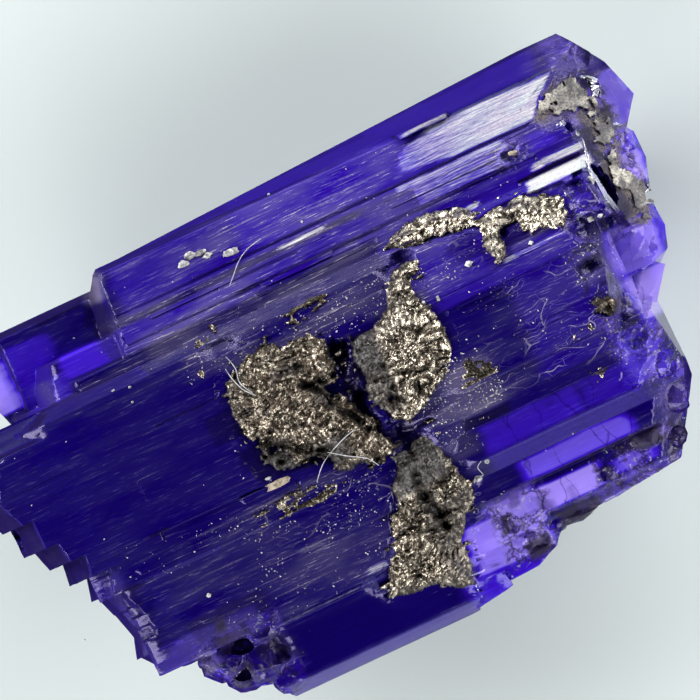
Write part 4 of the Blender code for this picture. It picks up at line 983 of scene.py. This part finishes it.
def smooth_path(knots, steps):
    """Points on a smooth curve through the knots."""
    knots = np.array([knots[0]] + list(knots) + [knots[-1]], float)
    points = []
    for k in range(1, len(knots) - 2):
        p0, p1, p2, p3 = knots[k - 1:k + 3]
        for t in np.linspace(0.0, 1.0, steps, endpoint=False):
            points.append(0.5 * (2 * p1 + (p2 - p0) * t + (2 * p0 - 5 * p1 + 4 * p2 - p3) * t ** 2
                                 + (3 * p1 - p0 - 3 * p2 + p3) * t ** 3))
    points.append(knots[-2])
    return np.array(points)


def tube(tool, path, radius, sides):
    """Closed tube along a path in millimetres."""
    rings = []
    for i, spot in enumerate(path):
        along = Vector(path[min(i + 1, len(path) - 1)] - path[max(i - 1, 0)]).normalized()
        across = along.cross(Vector((0.1, 0.2, 1.0))).normalized()
        upward = across.cross(along)
        ring = []
        for k in range(sides):
            angle = 2 * math.pi * k / sides
            offset = (across * math.cos(angle) + upward * math.sin(angle)) * radius
            ring.append(tool.verts.new(Vector(spot) + offset))
        rings.append(ring)
    for near, far in zip(rings, rings[1:]):
        for k in range(sides):
            j = (k + 1) % sides
            tool.faces.new((near[k], near[j], far[j], far[k]))
    tool.faces.new(rings[0])
    tool.faces.new(rings[-1])


def finished(tool, name):
    bmesh.ops.recalc_face_normals(tool, faces=tool.faces)
    mesh = bpy.data.meshes.new(name)
    tool.to_mesh(mesh)
    tool.free()
    points = inside_box(positions(mesh)) * MM
    mesh.vertices.foreach_set("co", points.ravel())
    mesh.update()
    return mesh


def dressed_tree(scene):
    """Search tree of the finished crystal and its crusts, in millimetres."""
    points, faces = [], []
    for item in scene.objects:
        if item.name.endswith(("_grown", "_flakes", "_seam")):
            start = len(points)
            points.extend((positions(item.data) / MM).tolist())
            faces.extend([k + start for k in face.vertices] for face in item.data.polygons)
    return BVHTree.FromPolygons(points, faces)


def surface_point(tree, u, v, lift=0.0):
    """Place on the crystal's upper surface, raised a little."""
    hit = tree.ray_cast(Vector((u + SHIFT_U, v + SHIFT_V, HIGH)), DOWN)[0]
    z = hit.z if hit is not None else 4.0
    return np.array([u + SHIFT_U, v + SHIFT_V, z + lift])


# Loose fibres as paths, and grains: u, v, length, width and sort
FIBRES = [[(-2.1, 3.2), (-1.85, 3.45), (-1.6, 3.7), (-1.25, 3.9), (-0.8, 4.0)],
          [(-3.15, 1.2), (-3.1, 0.9), (-2.95, 0.5), (-2.7, 0.2)],
          [(-3.0, 1.5), (-2.9, 1.1), (-2.95, 0.7), (-2.75, 0.3)],
          [(-2.2, -2.6), (-1.8, -2.2), (-1.2, -1.9), (-0.7, -1.75)],
          [(-1.6, -2.0), (-1.1, -2.35), (-0.7, -2.6), (-0.5, -2.9)],
          [(1.65, -4.45), (1.75, -4.3), (1.95, -4.35), (1.9, -4.1), (2.05, -3.98)]]
GRAINS = [(-3.0, 4.25, 0.16, 0.10, "pale"), (-2.75, 4.4, 0.16, 0.1, "pale"),
          (-2.45, 4.35, 0.2, 0.1, "pale"), (-2.3, 4.2, 0.12, 0.08, "pale"),
          (-1.75, 4.02, 0.14, 0.08, "pale"), (-1.6, 4.0, 0.12, 0.09, "pale"),
          (0.4, 3.95, 0.04, 0.04, "pale"), (-0.1, 5.0, 0.04, 0.04, "pale"), (4.0, 1.0, 0.12, 0.08, "pale"),
          (-6.15, 1.95, 0.05, 0.03, "pale"), (-5.7, 1.85, 0.04, 0.03, "pale"),
          (-5.8, 1.45, 0.03, 0.03, "pale"), (-6.15, -4.15, 0.07, 0.05, "pale"),
          (2.2, -4.05, 0.08, 0.06, "pale"), (-3.2, -2.2, 0.3, 0.1, "tan"), (6.4, 3.2, 0.15, 0.1, "tan"),
          (-3.35, -1.96, 0.1, 0.04, "pale"), (7.5, 0.7, 0.09, 0.07, "pale"),
          (7.75, 0.68, 0.08, 0.05, "pale"), (7.95, 1.65, 0.09, 0.12, "pale"),
          (1.75, -4.38, 0.14, 0.08, "pale"), (5.75, 0.8, 0.08, 0.07, "pale"),
          (2.45, 0.55, 0.06, 0.06, "pale"), (2.85, 0.5, 0.04, 0.07, "pale")]


# Specks of graphite and crystal dust: their sizes, and u0, u1, v0, v1 and number where they lie
SPECK_SIZES = (0.008, 0.01, 0.013, 0.017, 0.024)
DUST = [(-4.2, 0.2, 0.9, 2.3, 300), (-4.6, -0.3, -4.3, -2.6, 480), (-8.0, -4.5, -3.2, -2.4, 70),
        (-6.0, -0.5, -5.6, -4.2, 170), (2.6, 4.8, -1.0, 2.0, 140), (6.4, 7.8, -3.3, 0.6, 200),
        (4.5, 7.0, -2.4, 0.3, 80), (3.0, 7.4, 0.5, 2.9, 130), (-2.2, -0.5, -6.4, -3.2, 120),
        (1.2, 2.2, -5.4, -2.8, 70), (-1.1, 0.1, -1.0, 0.6, 60), (0.0, 1.6, 0.6, 1.9, 70),
        (1.1, 3.5, -2.7, -1.1, 520), (-0.6, 3.6, 0.8, 2.4, 330), (1.2, 2.3, -3.7, -2.8, 90),
        (-10.3, 8.5, -7.0, 5.3, 200), (7.0, 8.6, -4.5, 2.2, 90)]


def speck(tool, spot, size, rng):
    """One flat, eight-sided speck."""
    turn = Matrix.Rotation(rng.uniform(0.0, math.pi), 3, "Z")
    made = bmesh.ops.create_icosphere(tool, subdivisions=1, radius=1.0)["verts"]
    for vert in made:
        vert.co = Vector(spot) + turn @ Vector((vert.co.x * size * 1.3, vert.co.y * size * 0.8,
                                                vert.co.z * size * 0.5))


def grain_lump(tool, spot, length, width, seed):
    """One irregular grain lying along the striations."""
    made = bmesh.ops.create_icosphere(tool, subdivisions=3, radius=1.0)["verts"]
    away = np.array([vert.co[:] for vert in made])
    swell = (1.0 + 0.6 * layered(away, (1.3, 1.3, 1.3), seed)
             + 0.3 * layered(away, (3.0, 3.0, 3.0), seed + 1))
    for vert, out, size in zip(made, away, swell):
        vert.co = Vector(spot) + Vector((out[0] * length, out[1] * width,
                                         out[2] * width * 0.7)) * float(size)


def area_light(name, place, size, power, colour):
    data = bpy.data.lights.new(name, "AREA")
    data.shape = "RECTANGLE"
    data.size, data.size_y = size
    data.energy = power
    data.color = colour
    item = bpy.data.objects.new(name, data)
    bpy.context.scene.collection.objects.link(item)
    item.location = place
    item.rotation_euler = (STONE_MIDDLE - Vector(place)).to_track_quat("-Z", "Y").to_euler()


# Air near the horizon, above it and overhead
HORIZON_COLOUR, CEILING_COLOUR, ZENITH_COLOUR = (0.93, 0.98, 1.0), (0.07, 0.075, 0.08), (0.01, 0.01, 0.012)
SKY_STRENGTH = 0.6


def sky():
    """Bright air near the horizon under a dim ceiling."""
    world = bpy.data.worlds.new("studio_air")
    world.use_nodes = True
    bpy.context.scene.world = world
    tree = world.node_tree
    where = node(tree, "ShaderNodeTexCoord").outputs["Generated"]
    height = node(tree, "ShaderNodeSeparateXYZ", {0: where}).outputs["Z"]
    glow = blended(tree, ranged(tree, height, 0.14, 0.36), HORIZON_COLOUR, CEILING_COLOUR)
    colour = blended(tree, ranged(tree, height, 0.4, 0.8), glow, ZENITH_COLOUR)
    tree.links.new(colour, tree.nodes["Background"].inputs["Color"])
    tree.nodes["Background"].inputs["Strength"].default_value = SKY_STRENGTH


SENSOR_WIDTH = 36.0
# In millimetres: height of the faces that the picture is scaled to, and how far up the picture
# its centre lies from the place (0, 0)
FACE_HEIGHT, CENTRE_UP = 6.3, 0.27


def aim_camera(look):
    data = bpy.data.cameras.new("camera")
    data.sensor_width = SENSOR_WIDTH
    data.clip_start, data.clip_end = 0.01, 20.0
    away = look.camera_distance
    data.lens = SENSOR_WIDTH * away / look.view_width
    item = bpy.data.objects.new("camera", data)
    bpy.context.scene.collection.objects.link(item)
    x, y = CENTRE_UP * math.sin(look.roll) + SHIFT_U, CENTRE_UP * math.cos(look.roll) + SHIFT_V
    item.location = (x * MM, y * MM, FACE_HEIGHT * MM + away)
    item.rotation_euler = (0.0, 0.0, -look.roll)
    bpy.context.scene.camera = item


# Softboxes stand off the four corners, so that faces along and across the striations stay deep
SOFTBOX_SIZE, SOFTBOX_COLOUR = (0.34, 0.16), (0.96, 0.98, 1.0)
SOFTBOXES = [("softbox_front_left", (-0.26, -0.25, 0.15), 0.98),
             ("softbox_front_right", (0.26, -0.25, 0.15), 0.75),
             ("softbox_far_left", (-0.26, 0.25, 0.15), 1.1),
             ("softbox_far_right", (0.26, 0.25, 0.15), 0.88)]


def colour_property(name, description, value):
    return FloatVectorProperty(name=name, description=description, default=value, subtype="COLOR",
                               min=0.0, max=1.0)


def length_property(name, description, value):
    return FloatProperty(name=name, description=description, default=value, unit="LENGTH", precision=6)


class CrystalSettings(bpy.types.PropertyGroup):
    relief: length_property("Relief", "Height of the striations", 0.012 * MM)
    strip: length_property("Strip width", "Width of the mesh strips", 0.05 * MM)
    deep_colour: colour_property("Deep colour", "Tint of the thick, dark faces", (0.006, 0.0006, 0.12))
    violet_colour: colour_property("Violet colour", "Tint of the thinner faces", (0.062, 0.010, 0.74))
    # The clear tint, and in part the violet one, is partly painted backlight
    clear_colour: colour_property("Clear colour", "Tint of the clear windows", (0.42, 0.29, 1.0))
    haze_colour: colour_property("Haze colour", "Veil of fine striations", (0.54, 0.47, 0.56))
    # The frost colour is also the white of the painted highlights and of the painted glints
    frost_colour: colour_property("Frost colour", "White of the etched facets", (0.51, 0.53, 0.49))
    frost_play_colour: colour_property("Frost play of colour", "Second tint of the etched facets",
                                       (0.54, 0.50, 0.48))
    broken_colour: colour_property("Broken colour", "Clear patches in the broken ends",
                                   (0.22, 0.14, 0.72))
    dirt_colour: colour_property("Dirt colour", "Brown dirt in veins and hollows", (0.022, 0.015, 0.014))
    earth_colour: colour_property("Earth colour", "Dry earth that clings near the clay seam",
                                  (0.30, 0.255, 0.20))
    glint_colour: colour_property("Glint colour", "Tint of the reflections on the clear faces",
                                  (0.32, 0.27, 0.44))
    absorption_colour: colour_property("Absorption colour", "Colour of light that passes",
                                       (0.33, 0.033, 0.965))
    absorption_density: FloatProperty(name="Absorption", description="Strength per metre", default=600.0,
                                      min=0.0)
    clarity: FloatProperty(name="Clarity", description="Share of light that enters the crystal",
                           default=0.5, min=0.0, max=1.0)


class GraphiteSettings(bpy.types.PropertyGroup):
    grain: length_property("Grain", "Size of one flake", 0.06 * MM)
    pitch: length_property("Mesh pitch", "Size of one mesh cell", 0.03 * MM)
    grey: colour_property("Grey", "Colour of the duller flakes", (0.034, 0.025, 0.018))
    brassy: colour_property("Brassy", "Colour of the bright flakes", (0.56, 0.485, 0.385))


class ClaySettings(bpy.types.PropertyGroup):
    relief: length_property("Relief", "Rise of the seam", 0.16 * MM)
    light: colour_property("Light", "Lighter clay", (0.47, 0.43, 0.36))
    dark: colour_property("Dark", "Darker clay", (0.10, 0.09, 0.085))


class GrainSettings(bpy.types.PropertyGroup):
    fibre: length_property("Fibre radius", "Half the thickness of a fibre", 0.011 * MM)
    sides: IntProperty(name="Fibre sides", description="Faces around a fibre", default=6, min=3)


class StageSettings(bpy.types.PropertyGroup):
    floor_colour: colour_property("Floor", "Colour of the floor", (0.445, 0.480, 0.468))
    floor_shade: colour_property("Floor shade", "Darker spots of the floor", (0.435, 0.470, 0.458))
    light: FloatProperty(name="Light", description="Brightness of the softboxes", default=2.6, min=0.0)
    camera_distance: length_property("Camera distance", "From the stone's front face", 0.3)
    view_width: length_property("View width", "Width of the picture at the stone", 700 / 37 * MM)
    roll: FloatProperty(name="Roll", description="Angle of the striations in the picture",
                        default=math.radians(25.0), subtype="ANGLE")


def crystal_masks(points, normals):
    """Strength of each mask at the crystal's points, and how dull its steep ends are there."""
    u = points[:, 0] - SHIFT_U + 0.16 * layered(points[:, :2], (1.2, 4.0), 71)
    v = points[:, 1] - SHIFT_V + 0.04 * layered(points[:, :2], (1.2, 1.2), 73)
    rise = normals[:, 2]
    front = fade(rise, -0.05, 0.2)
    # The clear windows' tint is partly painted backlight, and the white of the frost partly a painted
    # highlight
    clear, frost_and_highlight = painted(u, v, CLEAR_AND_BACKLIT, 0.2, 0.06), frosted(u, v)
    wall = (1.0 - fade(rise, 0.05, 0.35)) * (1.0 - fade(clear, 0.2, 0.5))
    left_end = 1.0 - fade(u, -5.6, -5.0)
    right_end = fade(u, 6.3, 6.8) * (1.0 - fade(v, -4.0, -3.6))
    rear_edge = fade(v, 4.8, 5.0)
    steep = (1.0 - fade(rise, 0.45, 0.65)) * (1.0 - fade(clear, 0.3, 0.5))
    dull = front * steep * np.maximum.reduce([left_end, right_end, rear_edge])
    shaded = front * painted(u, v, DARK_AND_SHADE, 0.05, 0.03)
    seam_distance = near_path(np.stack([u, v], axis=1), [spot[:2] for spot in CLAY_TRACE])
    earth = 0.9 * front * (1.0 - fade(seam_distance, 0.15, 0.45))
    masks = {"haze": painted(u, v, HAZE, 0.8, 0.15),
             "milky": np.maximum(painted(u, v, MILKY, 0.25, 0.1), 0.04 * dull),
             "clear": clear,
             "frost_and_highlight": front * frost_and_highlight,
             # dark: the listed dark ledges and cracks, and painted shade in hollows, on steep walls and on
             # the dull ends
             "dark": np.maximum.reduce([shaded, 0.5 * wall * (1.0 - dull), DULL_END_SHADE * dull]),
             "scratched": painted(u, v, SCRATCHED, 0.3, 0.2),
             "broken": painted(u, v, BROKEN, 0.15, 0.15),
             "dirt": painted(u, v, DIRT, 0.12, 0.1),
             "cracked": painted(u, v, CRACKED, 0.3, 0.03),
             "earth": earth * (1.0 - fade(frost_and_highlight, 0.1, 0.3))}
    return masks, dull


class TANZANITE_OT_crystal(bpy.types.Operator):
    """Build the striated crystal from its solid"""
    bl_idname = "tanzanite.crystal"
    bl_label = "Crystal"

    def execute(self, context):
        look = context.scene.tanzanite_crystal
        strip = look.strip / MM * 1.0
        mesh = sliced_crystal(4.5 * strip, strip, 2.5 * strip)
        points = evened(filled(positions(mesh)), directions(mesh))
        mesh.vertices.foreach_set("co", (points * MM).ravel())
        merged(mesh)
        points, normals = positions(mesh) / MM, directions(mesh)
        stand = relief(points, normals, look.relief / MM)
        points = inside_box(points + normals * OUTWARD * stand[:, None])
        masks, dull = crystal_masks(points, normals)
        for name in MASKS:
            mark(mesh, name, masks[name])
        mesh.vertices.foreach_set("co", (points * MM).ravel())
        mesh.update()
        mesh.shade_smooth()
        mesh.set_sharp_from_angle(angle=CRYSTAL_CREASE)
        surface = crystal_surface_group(look)
        for name, clarity, reflection in (("blue_violet_crystal", look.clarity, look.glint_colour),
                                          ("etched_crystal", 0.0, (1.0, 1.0, 1.0))):
            mesh.materials.append(crystal_material(name, surface, look, clarity, reflection))
        corners = np.array([face.vertices[:] for face in mesh.polygons])
        etched = np.maximum(masks["frost_and_highlight"], dull)[corners].mean(axis=1) > ETCHED_FROM
        mesh.polygons.foreach_set("material_index", etched.astype(np.int32))
        piece("tanzanite_crystal_grown", mesh, "tanzanite_crystal")
        return {"FINISHED"}


class TANZANITE_OT_graphite(bpy.types.Operator):
    """Build the four granular graphite crusts"""
    bl_idname = "tanzanite.graphite"
    bl_label = "Graphite crusts"

    def execute(self, context):
        look = context.scene.tanzanite_graphite
        surface = graphite_material(look)
        pitch = look.pitch / MM * 1.0
        for seed, (name, (outline, rise)) in enumerate(CRUSTS.items()):
            mesh = crust_mesh(name + "_flakes", seat=outline, rise=rise, pitch=pitch, seed=40 + 60 * seed,
                              size=look.grain / MM, **FLAKES[name])
            mesh.shade_smooth()
            mesh.set_sharp_from_angle(angle=GRAPHITE_CREASE)
            mesh.materials.append(surface)
            piece(name + "_flakes", mesh, name)
        for number, (outline, shine, cover) in enumerate(FILMS):
            mesh = crust_mesh("graphite_film_%d" % (number + 1), outline, CRUSTS["graphite_left"][0],
                              0.05, pitch, 300 + 60 * number, look.grain / MM, holes=cover, spray=0.5,
                              shade=shine, ragged=0.2, hole_scale=(1.6, 7.0))
            mesh.shade_smooth()
            mesh.materials.append(surface)
            piece(mesh.name, mesh)
        return {"FINISHED"}


class TANZANITE_OT_clay(bpy.types.Operator):
    """Build the clay seam in the broken end"""
    bl_idname = "tanzanite.clay"
    bl_label = "Clay seam"

    def execute(self, context):
        look = context.scene.tanzanite_clay
        path = smooth_path(CLAY_TRACE, 16)
        pitch = CLAY_PITCH * 1.0
        mesh = crust_mesh("clay_seam", ribbon(path[:, :2], path[:, 2]), CLAY_OUTLINE, look.relief / MM,
                          pitch, 5, CLAY_FLAKE, dim=CLAY_DIM, ragged=0.45, holes=0.95, spray=0.3)
        mesh.shade_smooth()
        mesh.materials.append(clay_material(look))
        piece("clay_seam", mesh, "clay_crust")
        return {"FINISHED"}


# Light and dark shades of the loose bits
FIBRE_SHADES = ((0.44, 0.43, 0.44), (0.26, 0.25, 0.28))
DUST_SHADES = ((0.48, 0.46, 0.43), (0.05, 0.045, 0.05))
GRAIN_SHADES = {"pale": ((0.50, 0.49, 0.47), (0.10, 0.085, 0.10)),
                "tan": ((0.34, 0.28, 0.2), (0.12, 0.09, 0.07))}


def fibre_mesh(tree, radius, sides):
    """Thin fibres that lie on the faces in loose waves."""
    tool = bmesh.new()
    for index, knots in enumerate(FIBRES):
        flat = smooth_path(knots, 8)
        lifts = 0.06 + 0.05 * np.sin(np.arange(len(flat)) * 0.7 + index)
        path = np.array([surface_point(tree, u, v, lift) for (u, v), lift in zip(flat, lifts)])
        path[:, 2] = np.convolve(np.pad(path[:, 2], 2, mode="edge"), np.ones(5) / 5, mode="valid")
        tube(tool, path, radius, sides)
    return finished(tool, "loose_fibres")


def dust_mesh(tree):
    """Fine specks that lie in crowds."""
    rng = random.Random(12)
    tool = bmesh.new()
    for u0, u1, v0, v1, count in DUST:
        spots = np.array([(rng.uniform(u0, u1), rng.uniform(v0, v1)) for _ in range(count)])
        for (u, v), crowd in zip(spots, layered(spots, (1.1, 1.8), 3, 2)):
            size = rng.choice(SPECK_SIZES)
            if crowd > rng.uniform(-0.35, 0.5):
                speck(tool, surface_point(tree, u, v, size * 0.2), size, rng)
    return finished(tool, "fine_dust")


def grain_mesh(tree, kind):
    """The loose grains of one kind."""
    tool = bmesh.new()
    for index, (u, v, length, width, sort) in enumerate(GRAINS):
        if sort == kind:
            grain_lump(tool, surface_point(tree, u, v, width * 0.4), length, width, index)
    return finished(tool, kind + "_grains")


class TANZANITE_OT_grains(bpy.types.Operator):
    """Scatter the loose grains and fibres on the faces"""
    bl_idname = "tanzanite.grains"
    bl_label = "Grains and fibres"

    def execute(self, context):
        look = context.scene.tanzanite_grains
        tree = dressed_tree(context.scene)
        fibres = fibre_mesh(tree, look.fibre / MM, look.sides)
        fibres.shade_smooth()
        fibres.materials.append(speckled_material("white_fibre", *FIBRE_SHADES, 0.4, 6.0))
        piece("loose_fibres", fibres)
        dust = dust_mesh(tree)
        dust.materials.append(speckled_material("dust", *DUST_SHADES, 0.35, 3.2))
        piece("fine_dust", dust)
        for kind, shades in GRAIN_SHADES.items():
            grains = grain_mesh(tree, kind)
            grains.shade_smooth()
            grains.materials.append(speckled_material(kind + "_grain", *shades, 0.4, 9.0))
            piece(kind + "_grains", grains)
        return {"FINISHED"}


FLOOR_HALF = 1.2


class TANZANITE_OT_stage(bpy.types.Operator):
    """Set up the floor, the soft lights and the camera"""
    bl_idname = "tanzanite.stage"
    bl_label = "Stage"

    def execute(self, context):
        look = context.scene.tanzanite_stage
        mesh = bpy.data.meshes.new("floor")
        corners = [(x * FLOOR_HALF, y * FLOOR_HALF, 0) for x, y in ((-1, -1), (1, -1), (1, 1), (-1, 1))]
        mesh.from_pydata(corners, [], [range(4)])
        mesh.materials.append(speckled_material("pale_floor", look.floor_colour, look.floor_shade, 0.85,
                                                0.02))
        floor = bpy.data.objects.new("floor", mesh)
        context.scene.collection.objects.link(floor)
        for name, place, share in SOFTBOXES:
            area_light(name, place, SOFTBOX_SIZE, share * look.light, SOFTBOX_COLOUR)
        sky()
        aim_camera(look)
        context.scene.view_settings.view_transform = "Standard"
        return {"FINISHED"}


class TANZANITE_PT_panel(bpy.types.Panel):
    """Settings and steps of the rough tanzanite"""
    bl_idname = "TANZANITE_PT_panel"
    bl_label = "Rough Tanzanite"
    bl_space_type = "VIEW_3D"
    bl_region_type = "UI"
    bl_category = "Tanzanite"

    def draw(self, context):
        for kind, step in STEPS.items():
            box = self.layout.box()
            settings = getattr(context.scene, "tanzanite_" + kind)
            for name in settings.__annotations__:
                box.prop(settings, name)
            box.operator(step.bl_idname)


SETTINGS = {"crystal": CrystalSettings, "graphite": GraphiteSettings, "clay": ClaySettings,
            "grains": GrainSettings, "stage": StageSettings}
STEPS = {"crystal": TANZANITE_OT_crystal, "graphite": TANZANITE_OT_graphite, "clay": TANZANITE_OT_clay,
         "grains": TANZANITE_OT_grains, "stage": TANZANITE_OT_stage}


def register():
    for kind, settings in SETTINGS.items():
        bpy.utils.register_class(settings)
        setattr(bpy.types.Scene, "tanzanite_" + kind, PointerProperty(type=settings))
    for step in STEPS.values():
        bpy.utils.register_class(step)
    bpy.utils.register_class(TANZANITE_PT_panel)


def unregister():
    bpy.utils.unregister_class(TANZANITE_PT_panel)
    for step in STEPS.values():
        bpy.utils.unregister_class(step)
    for kind, settings in SETTINGS.items():
        delattr(bpy.types.Scene, "tanzanite_" + kind)
        bpy.utils.unregister_class(settings)


def main():
    register()
    for step in STEPS.values():
        family, name = step.bl_idname.split(".")
        getattr(getattr(bpy.ops, family), name)()


if __name__ == "__main__":
    main()
